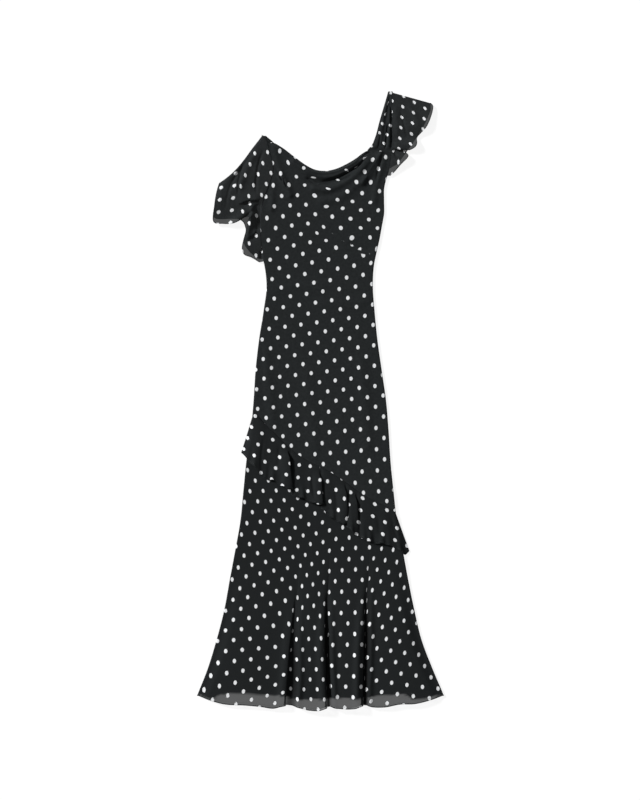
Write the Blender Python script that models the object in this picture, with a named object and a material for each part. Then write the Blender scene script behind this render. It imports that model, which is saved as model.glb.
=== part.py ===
"""A long spotted dress laid flat on its back, built as the pieces it is sewn from.

Metres, +Z up. The dress lies on the XY plane with its shoulders towards +Y, and the origin is under
the middle of its outline. Every piece is a wall of cloth. Sizes and tables are in millimetres, and
each table has a row for each station or fold, with its columns named above it.
"""

import bpy
import numpy as np

MM = 0.001

# Cloth and lay
CLOTH = 1.0
SEAM_GAP = 0.4
SIDE_SEAM_GAP = 0.8
ARMHOLE_GAP = 0.7
LAY_HEIGHT = 5.8
ROLL = LAY_HEIGHT / 2
ROLL_STEPS = 4
TURN_STEPS = 2
FOLD_FADE = 26.0
SEAM_START = -142.0

# The back frill is pressed flat under the dress and lifts what lies on it
FRILL_LIFT = 1.5
LIFT_AT = (-70, -30, 130, 170)

# Grids: columns across a piece and rows along it
PANEL_COLUMNS, PANEL_ROWS = 25, 36
BACK_COLUMNS, BACK_ROWS = 10, 40
LOBE_COLUMNS = (10, 9, 8, 10)
SKIRT_ROWS = 14
FRILL_ROWS = 7
STRAP_COLUMNS = 8
FLOUNCE_COLUMNS = 8

# Rows crowd towards the neckline, and columns towards the valleys between the flutes
ROW_CROWDING = 0.35
VALLEY_CROWDING = 0.12
SETTLE_ROUNDS = 40
NECK_GUESS, HEM_GUESS = 560.0, -700.0
SHARP_DEGREES = 50.0

LINING_SHORTER = 21.0
LINING_TOP = 30.0
LINING_GAP = 0.6
LINING_INSET = 0.02
BACK_NECK_DROP = 14.0
BACK_HEM_HIGHER = 3.0
FLUTE_TOP, FLUTE_FULL = -330.0, -600.0
FLUTE_ROUNDNESS = 0.6

# Frill: how far from the seam it starts, and where it drops past the sides of the skirt
FRILL_START = 1.0
FRILL_OVERHANG = 7.0
FRILL_DROP = 8.0
FRILL_SPREAD = 0.7

# Flounces: how much thinner they lie at their outer edge, and how their gathers open out
FLOUNCE_THINNING = 1.8
FLOUNCE_SPREAD = 0.8
LEFT_BOW = 7.0
BOW_SKEW = 0.7
BOW_FADE = 30.0
PLEAT_FADE = 30.0
FOLD_STEPS = 5


def table(columns, rows):
    """Turn rows of numbers into one array for each named column."""
    return dict(zip(columns, np.array(rows, float).T))


# Edges of the bodice and the upper skirt as they lie, and how far the cloth turns under there
BODY = table(("height", "left", "right", "turn"), [
    (-285, -189, 180, 24),
    (-212, -182, 171.5, 30),
    (-142, -175, 164.5, 34),
    (-71, -164.5, 160, 38),
    (0, -158, 154, 40),
    (70, -153.5, 144, 40),
    (141, -145.5, 134, 38),
    (211, -134.5, 127, 34),
    (270, -127.5, 123, 25),
    (320, -133, 126, 15),
    (345, -138.5, 131, 10),
    (376, -142, 138, 6),
    (411, -143, 144.5, 5),
    (440, -142, 149.5, 5),
    (470, -137, 149.5, 5),
    (501, -125, 150, 5),
    (525, -117, 156, 5),
    (541, -113, 161, 5),
    (562, -116, 165.5, 5),
    (583, -121, 168, 5),
    (606, -127, 169, 5),
])

# Front neckline from the left shoulder to the right one
NECK = table(("across", "height"), [
    (-128, 605),
    (-113, 606),
    (-95, 597),
    (-64, 574),
    (-36, 553.5),
    (-17, 543.5),
    (4, 539.5),
    (35, 544),
    (58, 554),
    (82, 568),
    (101, 582),
    (110, 587),
    (145, 585),
    (169, 583),
])

# Slanting seam where the skirt and its frill join the bodice
SEAM = table(("across", "height"), [
    (-158, -26),
    (-132, -55),
    (-113, -74),
    (-73, -114),
    (-33, -142),
    (9, -162),
    (47, -186),
    (101, -224),
    (157, -253),
    (178, -266),
])

# Edges of the flared skirt, the three valleys between its four flutes, and the turn at its sides
SKIRT = table(("height", "left", "valley_1", "valley_2", "valley_3", "right", "turn"), [
    (-725, -302, -83, 20, 102, 301, 8),
    (-693, -290, -80, 19, 102, 289, 8),
    (-636, -267.5, -75, 16, 103, 265, 9),
    (-565, -245.5, -69, 14, 105, 238, 10),
    (-495, -227.5, -59, 15, 107, 221, 12),
    (-424, -214.5, -54, 18, 111, 206.5, 15),
    (-354, -201.5, -50, 21, 115, 193.5, 19),
    (-283, -189, -48, 22, 118, 179.5, 24),
    (-212, -182, -46, 23, 120, 171.5, 30),
    (-142, -175, -44, 24, 121, 164.5, 34),
    (-20, -159.5, -42, 26, 122, 158, 39),
])

# Hem as it lies, from the left corner to the right one
HEM = table(("across", "height"), [
    (-290, -694),
    (-263, -704),
    (-231, -713),
    (-177, -716.5),
    (-140, -720),
    (-110, -724),
    (-83, -716),
    (-60, -719),
    (-24, -728),
    (-2, -728),
    (15, -720.5),
    (40, -723.5),
    (80, -723.5),
    (102, -716),
    (124, -721),
    (150, -721),
    (186, -714),
    (220, -713),
    (262, -703),
    (289, -694),
])

# Flutes of the skirt at its hem: how high each stands and how wide the valley after it is
FLUTES = table(("height", "valley_width", "valley_depth"), [
    (8.0, 15.0, 0.75),
    (12.5, 10.0, 1.0),
    (12.0, 9.0, 1.0),
    (9.0, 9.0, 0.0),
])

# Slanting frill: where a line of its gathers starts on the seam, where it ends on the lower edge,
# and how high it stands there
FRILL = table(("seam_across", "edge_across", "edge_height", "rise"), [
    (-157, -187, -124, 0),
    (-150, -174, -135, 4),
    (-138, -153, -160, 9),
    (-124, -134, -181, 6),
    (-99, -105, -191, 5),
    (-80, -79, -207, 9),
    (-70, -69, -211, 0.5),
    (-63, -60, -222, 9),
    (-35, -33, -234, 6),
    (-9, -6, -243, 8),
    (1, 3, -246, 0.5),
    (9, 12, -264, 9),
    (29, 34, -281, 6),
    (50, 54, -288, 8),
    (59, 61, -284, 0.5),
    (66, 69, -302, 9),
    (76, 80, -314, 7),
    (86, 88, -310, 0.5),
    (94, 99, -325, 9),
    (124, 129, -335, 5),
    (148, 160, -339, 6),
    (162, 178, -349, 3),
    (171, 197, -360, 3),
    (176, 209, -355, 0),
])

# Right flounce, from its lower corner up to the fold at its top: each line of gathers starts at a
# height on the armhole and ends on the outer edge
RIGHT_FLOUNCE = table(("seam_height", "edge_across", "edge_height", "rise"), [
    (528, 163.5, 529, 0),
    (540, 174, 539, 2),
    (558, 188, 555, 6),
    (576, 205.5, 574, 9),
    (588, 199, 588, 0),
    (603, 224, 602, 8),
    (618, 227, 620, 1),
    (645, 248, 643, 8),
    (675, 260, 671, 5),
    (704, 264, 691, 2),
    (725, 259, 700, 0),
])
RIGHT_FLOUNCE_BACK = table(("seam_height", "edge_across", "edge_height"), [
    (702, 258, 683),
    (650, 242, 647),
    (600, 216, 606),
    (545, 180, 556),
])

# Left flounce, from the underarm up to the fold at its top
LEFT_FLOUNCE = table(("seam_height", "edge_across", "edge_height", "rise"), [
    (327, -143.5, 325, 0),
    (350, -162, 336.5, 2),
    (368, -179, 343, 5),
    (384, -184.5, 357, 6),
    (400, -181, 378, 3),
    (416, -174, 401, 2),
    (432, -170, 422, 4),
    (448, -168, 431, 8),
    (463, -178, 432, 1),
    (480, -190, 424, 6),
    (498, -207, 416.5, 8),
    (520, -230, 416, 4),
    (545, -252, 421, 5),
    (570, -249.5, 458, 7),
    (592, -245, 488, 3),
    (618, -238.5, 512, 0),
])
LEFT_FLOUNCE_BACK = table(("seam_height", "edge_across", "edge_height"), [
    (594, -236, 492),
    (550, -240, 432),
    (490, -190, 424),
    (430, -172, 395),
    (385, -172, 352),
    (332, -148, 334),
])

# Straps, from the neckline over the shoulder: their sides in front and behind
RIGHT_STRAP = table(("height", "left", "right"), [
    (589, 110, 169),
    (602, 121, 169.5),
    (616, 127, 169.5),
    (659, 139, 169.5),
    (696, 150, 169.5),
    (727.5, 159, 169.5),
])
RIGHT_STRAP_BACK = table(("height", "left", "right"), [
    (574, 124, 160),
    (600, 129, 161),
    (640, 138, 165),
    (727.5, 159, 169.5),
])
LEFT_STRAP = table(("height", "left", "right"), [
    (606, -127, -114),
    (614, -131, -121),
    (623, -138, -129),
])
LEFT_STRAP_BACK = table(("height", "left", "right"), [
    (593, -114, -105),
    (606, -118, -110),
    (623, -138, -129),
])
STRAP_PLEAT = 2.5
STRAP_PLEATS = 2

# Folds of the bodice: a line of points, its half width and its height, which is negative in a trough
BODICE_FOLDS = [
    {"line": [(-62, 562), (-28, 538), (4, 526), (36, 529), (62, 541), (88, 557), (108, 573)],
     "width": 8, "height": 6},
    {"line": [(-29, 522), (0, 510), (23, 514), (47, 526), (70, 540), (94, 558), (114, 577)],
     "width": 7, "height": -2.5},
    {"line": [(-16, 500), (8, 495), (36, 502), (66, 519), (96, 543), (118, 566)],
     "width": 9, "height": 5},
    {"line": [(4, 468), (34, 474), (66, 492), (98, 522)], "width": 11, "height": 3},
    {"line": [(143, 586), (129, 561), (112, 534), (99, 512)], "width": 7, "height": 5},
    {"line": [(157, 580), (148, 548), (136, 512), (128, 470)], "width": 9, "height": 3},
    {"line": [(-112, 592), (-104, 556), (-90, 522), (-72, 484)], "width": 8, "height": 5},
    {"line": [(-118, 580), (-114, 540), (-116, 500), (-116, 450)], "width": 8, "height": 3},
    {"line": [(140, 349), (108, 357), (78, 368)], "width": 9, "height": -1.5},
    {"line": [(-118, 262), (-60, 268), (0, 262)], "width": 13, "height": 1.5},
    {"line": [(118, 232), (60, 226), (10, 232)], "width": 13, "height": 1.5},
    {"line": [(-134, 120), (-120, 20), (-112, -60)], "width": 12, "height": 2},
    {"line": [(96, 90), (104, 0), (110, -110)], "width": 14, "height": 2},
    {"line": [(-30, 60), (-24, -20), (-16, -110)], "width": 16, "height": 1.5},
]


def smooth(at, places, values):
    """Read a table between its rows by a cubic whose slopes come from the neighbouring rows."""
    order = np.argsort(places)
    places = places[order]
    values = values[order]
    slopes = np.gradient(values, places)
    at = np.clip(at, places[0], places[-1])
    row = np.clip(np.searchsorted(places, at) - 1, 0, len(places) - 2)
    step = places[row + 1] - places[row]
    part = (at - places[row]) / step
    rest = 1 - part
    start = values[row] * (1 + 2 * part) + slopes[row] * step * part
    end = values[row + 1] * (1 + 2 * rest) - slopes[row + 1] * step * rest
    return start * rest ** 2 + end * part ** 2


def ease(part):
    """Rise smoothly from 0 to 1 as part does."""
    part = np.clip(part, 0, 1)
    return part * part * (3 - 2 * part)


def seam_height(across):
    return smooth(across, SEAM["across"], SEAM["height"])


def neck_height(across):
    return smooth(across, NECK["across"], NECK["height"])


def hem_height(across):
    return smooth(across, HEM["across"], HEM["height"])


def lift(across, height):
    """How far the pressed back frill raises the cloth at a place."""
    below_seam = seam_height(across) - height
    return np.interp(below_seam, LIFT_AT, (0, FRILL_LIFT, FRILL_LIFT, 0))


def edges(height):
    """Left edge, right edge and turn of the dress at a height, bodice and skirt alike."""
    names = ("left", "right", "turn")
    upper = [smooth(height, BODY["height"], BODY[name]) for name in names]
    lower = [smooth(height, SKIRT["height"], SKIRT[name]) for name in names]
    on_body = height > SEAM_START
    return [np.where(on_body, high, low) for high, low in zip(upper, lower)]


def fold_relief(across, height, folds):
    """Sum of soft ridges and troughs, each a bell curve of the distance from its own line."""
    relief = np.zeros_like(across)
    for fold in folds:
        line = np.array(fold["line"], float)
        nearest = np.full_like(across, np.inf)
        for start, end in zip(line[:-1], line[1:]):
            run = end - start
            part = ((across - start[0]) * run[0] + (height - start[1]) * run[1]) / (run @ run)
            part = np.clip(part, 0, 1)
            away = np.hypot(across - start[0] - part * run[0], height - start[1] - part * run[1])
            nearest = np.minimum(nearest, away)
        relief += fold["height"] * np.exp(-(nearest / fold["width"]) ** 2)
    return relief


def edge_fade(across, height):
    """1 over the middle of the cloth and 0 at its rolled sides, where folds run out."""
    left, right, _ = edges(height)
    near = np.minimum(across - left - ROLL, right - ROLL - across)
    return ease(near / FOLD_FADE)


def bodice_top(across, height):
    fade = edge_fade(across, height)
    return LAY_HEIGHT + fade * fold_relief(across, height, BODICE_FOLDS)


def skirt_top(across, height):
    """Broad flutes with narrow valleys, growing from nothing under the frill to the hem."""
    grown = ease((FLUTE_TOP - height) / (FLUTE_TOP - FLUTE_FULL))
    valleys = [smooth(height, SKIRT["height"], SKIRT[f"valley_{k}"]) for k in (1, 2, 3)]
    left, right, _ = edges(height)
    stops = [left, *valleys, right]
    relief = np.zeros_like(across)
    for k, (low, high) in enumerate(zip(stops[:-1], stops[1:])):
        inside = (across >= low) & (across <= high)
        part = np.clip((across - low) / (high - low), 0, 1)
        crown = np.sin(np.pi * part) ** FLUTE_ROUNDNESS
        relief = np.where(inside, FLUTES["height"][k] * crown, relief)
    for k, valley in enumerate(valleys):
        away = (across - valley) / FLUTES["valley_width"][k]
        shoulder = 0.5 * (FLUTES["height"][k] + FLUTES["height"][k + 1])
        softened = 1 - FLUTES["valley_depth"][k]
        relief = np.maximum(relief, softened * shoulder * np.exp(-away ** 2))
    return LAY_HEIGHT + grown * edge_fade(across, height) * relief


def settle(across_of, height_of, guess):
    """Find the height where a column, whose place across depends on height, meets a curve."""
    height = guess
    for _ in range(SETTLE_ROUNDS):
        height = height_of(across_of(height))
    return height


def rolled(across, height, top):
    """Carry the top of a piece round its two sides and a little way back underneath.

    Each row gets half a circle at both sides and a flat turn on the underside, at the height of
    the row's own end.
    """
    left, _, left_turn = edges(height[:, 0])
    _, right, right_turn = edges(height[:, -1])
    sides = []
    for edge, turn, inward, row_height in ((left, left_turn, 1, height[:, 0]),
                                           (right, right_turn, -1, height[:, -1])):
        flat = np.linspace(1, 0, TURN_STEPS + 1)[:-1]
        reach = edge[:, None] + inward * (ROLL + flat * (turn - ROLL)[:, None])
        angle = np.linspace(0, np.pi, ROLL_STEPS + 1)[:-1]
        bend = edge[:, None] + inward * (ROLL - ROLL * np.sin(angle))
        lifted = np.broadcast_to(ROLL - ROLL * np.cos(angle), bend.shape)
        side_across = np.hstack([reach, bend])
        side_top = np.hstack([np.zeros_like(reach), lifted])
        side_height = np.broadcast_to(row_height[:, None], side_across.shape)
        sides.append(np.stack([side_across, side_height, side_top], axis=-1))
    middle = np.stack([across, height, top], axis=-1)
    return np.concatenate([sides[0], middle, sides[1][:, ::-1]], axis=1)


def raised(grid):
    """Lift a grid of points by what lies under it."""
    grid = grid.copy()
    grid[..., 2] += lift(grid[..., 0], grid[..., 1])
    return grid


def normals(grid):
    along_columns = np.gradient(grid, axis=1)
    along_rows = np.gradient(grid, axis=0)
    normal = np.cross(along_columns, along_rows)
    return normal / np.linalg.norm(normal, axis=-1, keepdims=True)


def cloth_material(name, colour, roughness):
    material = bpy.data.materials.new(name)
    material.use_nodes = True
    shader = material.node_tree.nodes["Principled BSDF"]
    shader.inputs["Base Color"].default_value = (*colour, 1)
    shader.inputs["Roughness"].default_value = roughness
    shader.inputs["Metallic"].default_value = 0
    return material


def wall(name, grid, material, thickness=-CLOTH):
    """Close a grid of points into a wall of cloth: its skin, a second skin along the normals, a rim.

    A negative thickness keeps the grid as the outer skin, and a positive one as the inner skin.
    """
    rows, columns = grid.shape[:2]
    second = grid + thickness * normals(grid)
    outer, inner = (grid, second) if thickness < 0 else (second, grid)
    points = np.concatenate([outer.reshape(-1, 3), inner.reshape(-1, 3)]) * MM
    number = np.arange(rows * columns).reshape(rows, columns)
    a = number[:-1, :-1].ravel()
    b = number[:-1, 1:].ravel()
    c = number[1:, 1:].ravel()
    d = number[1:, :-1].ravel()
    below = rows * columns
    rim = np.concatenate([number[0, :-1], number[:-1, -1], number[-1, :0:-1], number[:0:-1, 0]])
    following = np.roll(rim, -1)
    faces = np.concatenate([
        np.stack([a, b, c, d], axis=1),
        np.stack([d, c, b, a], axis=1) + below,
        np.stack([following, rim, rim + below, following + below], axis=1),
    ])
    mesh = bpy.data.meshes.new(name)
    mesh.from_pydata(points.tolist(), [], faces.tolist())
    mesh.materials.append(material)
    mesh.shade_smooth()
    mesh.set_sharp_from_angle(angle=np.radians(SHARP_DEGREES))
    piece = bpy.data.objects.new(name, mesh)
    bpy.context.collection.objects.link(piece)
    return piece


def body_across(share, height):
    left, right, _ = edges(height)
    return left + ROLL + share * (right - left - 2 * ROLL)


def front_panel(material):
    """Bodice and upper skirt in one, from the slanting seam to the neckline."""
    share = np.linspace(0, 1, PANEL_COLUMNS)
    along = np.linspace(0, 1, PANEL_ROWS)[:, None]
    along = along * (1 + ROW_CROWDING - ROW_CROWDING * along)
    low = settle(lambda h: body_across(share, h), seam_height, np.full_like(share, SEAM_START))
    high = settle(lambda h: body_across(share, h), neck_height, np.full_like(share, NECK_GUESS))
    height = low + SEAM_GAP / 2 + along * (high - low - SEAM_GAP / 2)
    across = body_across(share, height)
    grid = rolled(across, height, bodice_top(across, height))
    return wall("front_panel", raised(grid), material)


def back_between(share, height):
    """Places across the flat back, between the two turned sides."""
    left, right, turn = edges(height)
    inner_left = left + turn + SIDE_SEAM_GAP
    inner_right = right - turn - SIDE_SEAM_GAP
    return inner_left + share * (inner_right - inner_left)


def back_panel(material):
    """Back of the bodice, flat on the surface, cut lower at the neck than the front."""
    share = np.linspace(0, 1, BACK_COLUMNS)
    along = np.linspace(0, 1, BACK_ROWS)[:, None]
    low = settle(lambda h: back_between(share, h), seam_height, np.full_like(share, SEAM_START))
    high = settle(lambda h: back_between(share, h), lambda x: neck_height(x) - BACK_NECK_DROP,
                  np.full_like(share, NECK_GUESS))
    height = low + SEAM_GAP / 2 + along * (high - low - SEAM_GAP / 2)
    across = back_between(share, height)
    grid = np.stack([across, height, np.full_like(across, CLOTH)], axis=-1)
    return wall("back_panel", raised(grid), material)


def lobe_shares():
    """Columns of the skirt, crowded towards its valleys: the flute each is on and its part of it."""
    flute = []
    part = []
    for k, count in enumerate(LOBE_COLUMNS):
        even = np.linspace(0, 1, count + 1)[(1 if k else 0):]
        crowded = even - VALLEY_CROWDING * np.sin(2 * np.pi * even)
        flute.append(np.full_like(even, k))
        part.append(crowded)
    return np.concatenate(flute).astype(int), np.concatenate(part)


def skirt_across(flute, part, height):
    left, right, _ = edges(height)
    valleys = [smooth(height, SKIRT["height"], SKIRT[f"valley_{k}"]) for k in (1, 2, 3)]
    stops = np.stack(np.broadcast_arrays(left + ROLL, *valleys, right - ROLL))
    low = np.take_along_axis(stops, np.broadcast_to(flute, height.shape)[None], axis=0)[0]
    high = np.take_along_axis(stops, np.broadcast_to(flute + 1, height.shape)[None], axis=0)[0]
    return low + part * (high - low)


def skirt_grid(shorter=0.0, lower=SEAM_GAP / 2):
    """Top of the skirt front from its hem, or that much above it, up to just below the seam."""
    flute, part = lobe_shares()
    low = settle(lambda h: skirt_across(flute, part, h), hem_height,
                 np.full(part.shape, HEM_GUESS))
    high = settle(lambda h: skirt_across(flute, part, h), seam_height,
                  np.full(part.shape, SEAM_START))
    along = np.linspace(0, 1, SKIRT_ROWS)[:, None]
    height = low + shorter + along * (high - lower - low - shorter)
    across = skirt_across(flute, part, height)
    return across, height, skirt_top(across, height)


def skirt_front(material):
    across, height, top = skirt_grid()
    return wall("skirt_front", raised(rolled(across, height, top)), material)


def skirt_back(material):
    """Back of the skirt, flat on the surface between the turned sides."""
    share = np.linspace(0, 1, BACK_COLUMNS)
    low = settle(lambda h: back_between(share, h), lambda x: hem_height(x) + BACK_HEM_HIGHER,
                 np.full_like(share, HEM_GUESS))
    high = settle(lambda h: back_between(share, h), seam_height,
                  np.full_like(share, SEAM_START))
    along = np.linspace(0, 1, SKIRT_ROWS)[:, None]
    height = low + along * (high - SEAM_GAP / 2 - low)
    across = back_between(share, height)
    grid = np.stack([across, height, np.full_like(across, CLOTH)], axis=-1)
    return wall("skirt_back", raised(grid), material)


def lining_front(material):
    """Lining of the skirt front: the skirt's own points, moved in, and shorter at the hem."""
    grid = raised(np.stack(skirt_grid(LINING_SHORTER, LINING_TOP), axis=-1))
    moved = grid - (CLOTH + LINING_GAP) * normals(grid)
    return wall("lining_front", moved[:, 2:-2], material)


def lining_back(material):
    """Lining of the skirt back, on the inner side of the skirt back."""
    share = np.linspace(LINING_INSET, 1 - LINING_INSET, BACK_COLUMNS)
    low = settle(lambda h: back_between(share, h), lambda x: hem_height(x) + LINING_SHORTER,
                 np.full_like(share, HEM_GUESS))
    high = settle(lambda h: back_between(share, h), seam_height,
                  np.full_like(share, SEAM_START)) - LINING_TOP
    along = np.linspace(0, 1, SKIRT_ROWS)[:, None]
    height = low + along * (high - low)
    across = back_between(share, height)
    level = 2 * CLOTH + LINING_GAP
    grid = np.stack([across, height, np.full_like(across, level)], axis=-1)
    return wall("lining_back", raised(grid), material)


def frill_lines(steps):
    """Gather lines of the frill: where each starts and ends, and how high it stands."""
    row = np.arange(len(FRILL["rise"]), dtype=float)
    at = np.linspace(0, row[-1], steps)
    return [smooth(at, row, FRILL[name])
            for name in ("seam_across", "edge_across", "edge_height", "rise")]


def frill_rest(across, height):
    """Height the frill lies at: over the skirt, or past its sides on the frill of the back."""
    left, right, _ = edges(height)
    inside = np.minimum(across - left, right - across)
    over = ease((inside + FRILL_OVERHANG) / FRILL_DROP)
    top = LAY_HEIGHT + lift(across, height) + SEAM_GAP
    beside = CLOTH + SEAM_GAP
    return beside + over * (top - beside)


def frill_front(material):
    """Gathered frill on the slanting seam, with deep folds at its lower edge."""
    steps = 2 * (len(FRILL["rise"]) - 1) + 1
    seam_across, edge_across, edge_height, rise = frill_lines(steps)
    down = np.linspace(1, 0, FRILL_ROWS)[:, None]
    start = seam_height(seam_across) - FRILL_START
    across = seam_across + down * (edge_across - seam_across)
    height = start + down * (edge_height - start)
    top = frill_rest(across, height) + np.maximum(rise, 0) * down ** FRILL_SPREAD
    grid = np.stack([across, height, top], axis=-1)
    return wall("frill_front", grid, material, CLOTH)


def frill_back(material):
    """Frill of the back, pressed flat under the dress."""
    seam_across, edge_across, edge_height, _ = frill_lines(len(FRILL["rise"]))
    down = np.linspace(1, 0, FRILL_ROWS - 2)[:, None]
    start = seam_height(seam_across) - SEAM_GAP
    across = seam_across + down * (edge_across - seam_across)
    height = start + down * (edge_height + BACK_HEM_HIGHER - start)
    grid = np.stack([across, height, np.full_like(across, CLOTH)], axis=-1)
    return wall("frill_back", grid, material)


def strap(name, front, behind, material):
    """Band that comes up from the front neckline, rolls over the shoulder and goes down behind."""
    share = np.linspace(0, 1, STRAP_COLUMNS)
    top = front["height"][-1]
    front_heights = np.linspace(front["height"][0] + SEAM_GAP, top - ROLL, FOLD_STEPS)
    angle = np.linspace(0, np.pi, FOLD_STEPS)[1:-1]
    back_heights = np.linspace(top - ROLL, behind["height"][0], FOLD_STEPS - 1)
    height = np.concatenate([front_heights, top - ROLL + ROLL * np.sin(angle), back_heights])
    level = np.concatenate([
        np.full(len(front_heights), LAY_HEIGHT),
        ROLL + ROLL * np.cos(angle),
        np.zeros(len(back_heights)),
    ])
    is_back = level < ROLL
    left = np.where(is_back, smooth(height, behind["height"], behind["left"]),
                    smooth(height, front["height"], front["left"]))
    right = np.where(is_back, smooth(height, behind["height"], behind["right"]),
                     smooth(height, front["height"], front["right"]))
    across = left[:, None] + share * (right - left)[:, None]
    pleat = STRAP_PLEAT * np.sin(np.pi * STRAP_PLEATS * share) ** 2
    fade = ease((top - ROLL - height) / PLEAT_FADE) * ~is_back
    grid = np.stack([
        across,
        np.broadcast_to(height[:, None], across.shape),
        level[:, None] + fade[:, None] * pleat,
    ], axis=-1)
    return wall(name, grid, material)


def armhole(height, outward):
    """Place across of the armhole seam, which runs on up the side of the strap."""
    left, right, _ = edges(height)
    if outward > 0:
        up = smooth(height, RIGHT_STRAP["height"], RIGHT_STRAP["right"])
        edge = np.where(height > RIGHT_STRAP["height"][0], up, right)
    else:
        up = smooth(height, LEFT_STRAP["height"], LEFT_STRAP["left"])
        edge = np.where(height > LEFT_STRAP["height"][0], up, left)
    return edge + outward * ARMHOLE_GAP


def flounce(name, front, behind, outward, bow, material):
    """Flutter sleeve folded along its top: a front layer, half a roll at the fold, a back layer.

    Each row runs from the armhole to the outer edge. Outward is 1 for the right side, -1 for the
    left. The rows near the fold bow up by the armhole and down further out.
    """
    names = ("seam_height", "edge_across", "edge_height")
    share = np.linspace(0, 1, FLOUNCE_COLUMNS)
    row = np.arange(len(front["rise"]), dtype=float)
    at = np.linspace(0, row[-1], 2 * (len(row) - 1) + 1)
    y0, x1, y1 = [smooth(at, row, front[key])[:, None] for key in names]
    x0 = armhole(y0, outward)
    rise = np.maximum(smooth(at, row, front["rise"]), 0)[:, None]
    level = LAY_HEIGHT - FLOUNCE_THINNING * share
    across = x0 + share * (x1 - x0)
    bowed = bow * np.exp(-((y0 - y0[-1]) / BOW_FADE) ** 2) * np.sin(2 * np.pi * share ** BOW_SKEW)
    height = y0 + share * (y1 - y0) + bowed
    top = level + rise * share ** FLOUNCE_SPREAD
    fold_run = np.array([x1[-1, 0] - x0[-1, 0], y1[-1, 0] - y0[-1, 0]])
    fold_run = fold_run / np.linalg.norm(fold_run)
    beyond = outward * np.array([-fold_run[1], fold_run[0]])
    radius = level / 2
    fold_height = height[-1] - radius * beyond[1]
    clear = outward * armhole(height[-1] + radius, outward)
    fold_across = outward * np.maximum(outward * (across[-1] - radius * beyond[0]), clear)
    angle = np.linspace(0, np.pi, FOLD_STEPS)[:, None]
    bend_across = fold_across + radius * np.sin(angle) * beyond[0]
    bend_height = fold_height + radius * np.sin(angle) * beyond[1]
    bend_top = radius + radius * np.cos(angle)
    back_row = np.arange(len(behind["seam_height"]), dtype=float)
    back_at = np.linspace(0, back_row[-1], 2 * (len(back_row) - 1) + 1)
    by0, bx1, by1 = [smooth(back_at, back_row, behind[key])[:, None] for key in names]
    bx0 = armhole(by0, outward)
    back_across = bx0 + share * (bx1 - bx0)
    back_height = by0 + share * (by1 - by0)
    grid = np.stack([
        np.concatenate([across[:-1], bend_across, back_across]),
        np.concatenate([height[:-1], bend_height, back_height]),
        np.concatenate([top[:-1], bend_top, np.zeros_like(back_across)]),
    ], axis=-1)
    if outward < 0:
        grid = grid[:, ::-1]
    return wall(name, grid, material)


def main():
    for item in list(bpy.data.objects):
        bpy.data.objects.remove(item, do_unlink=True)
    crepe = cloth_material("spotted_crepe", (0.021, 0.022, 0.024), 0.85)
    lining = cloth_material("black_lining", (0.012, 0.012, 0.013), 0.6)
    front_panel(crepe)
    back_panel(crepe)
    skirt_front(crepe)
    skirt_back(crepe)
    lining_front(lining)
    lining_back(lining)
    frill_front(crepe)
    frill_back(crepe)
    strap("strap_right", RIGHT_STRAP, RIGHT_STRAP_BACK, crepe)
    strap("strap_left", LEFT_STRAP, LEFT_STRAP_BACK, crepe)
    flounce("flounce_right", RIGHT_FLOUNCE, RIGHT_FLOUNCE_BACK, 1, 0.0, crepe)
    flounce("flounce_left", LEFT_FLOUNCE, LEFT_FLOUNCE_BACK, -1, LEFT_BOW, crepe)


main()
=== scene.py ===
# %% [markdown]
# # A long spotted dress, laid flat
#
# This script dresses a plain solid model of a maxi dress with its real cloth: spotted crepe over a
# black lining, a draped neckline, two flutter sleeves, a slanting frill and a flared skirt. The dress
# lies on a pale floor and is seen from straight above.
#
# The solid model comes first and stays fixed. Every piece of cloth below is a thin sheet made in the
# same place as the solid piece that it stands for.

import bpy
import numpy as np
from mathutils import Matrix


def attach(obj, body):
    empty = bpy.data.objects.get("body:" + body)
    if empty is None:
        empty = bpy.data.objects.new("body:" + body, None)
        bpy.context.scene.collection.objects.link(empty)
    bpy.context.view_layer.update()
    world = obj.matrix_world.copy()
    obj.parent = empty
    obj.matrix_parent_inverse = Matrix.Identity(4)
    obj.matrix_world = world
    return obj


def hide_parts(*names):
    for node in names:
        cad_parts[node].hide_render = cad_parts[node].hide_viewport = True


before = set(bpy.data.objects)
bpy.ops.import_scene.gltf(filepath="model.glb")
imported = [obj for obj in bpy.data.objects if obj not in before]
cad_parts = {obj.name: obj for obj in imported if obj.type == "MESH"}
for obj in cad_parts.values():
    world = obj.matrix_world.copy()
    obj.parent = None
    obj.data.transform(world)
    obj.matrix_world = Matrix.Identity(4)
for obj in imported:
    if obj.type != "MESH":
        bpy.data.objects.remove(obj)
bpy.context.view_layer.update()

# %% [markdown]
# ## Camera, floor and light
#
# The photograph looks straight down. One picture point is 2.354 mm of the floor, so the picture's
# 800 points along the dress are 1.883 m. A long lens 4.5 m up keeps the two ends free of perspective.
# The middle of the picture is a hair away from the middle of the dress.

# %% Camera
MM = 0.001
POINT = 2.354
PICTURE_HEIGHT = 800
CAMERA_HEIGHT = 4500
CAMERA_OFF_CENTRE = (-1.6, 0.7)
SENSOR = 36.0
EYE_LEVEL = 6


def place(name, data):
    """Put new data into the scene as an object."""
    made = bpy.data.objects.new(name, data)
    bpy.context.scene.collection.objects.link(made)
    return made


lens = bpy.data.cameras.new("camera")
lens.sensor_width = SENSOR
lens.lens = SENSOR * (CAMERA_HEIGHT - EYE_LEVEL) / (POINT * PICTURE_HEIGHT)
camera = place("camera", lens)
camera.location = (CAMERA_OFF_CENTRE[0] * MM, CAMERA_OFF_CENTRE[1] * MM, CAMERA_HEIGHT * MM)
bpy.context.scene.camera = camera
bpy.context.scene.view_settings.view_transform = "Standard"
print("lens, mm:", round(lens.lens, 1))

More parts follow.
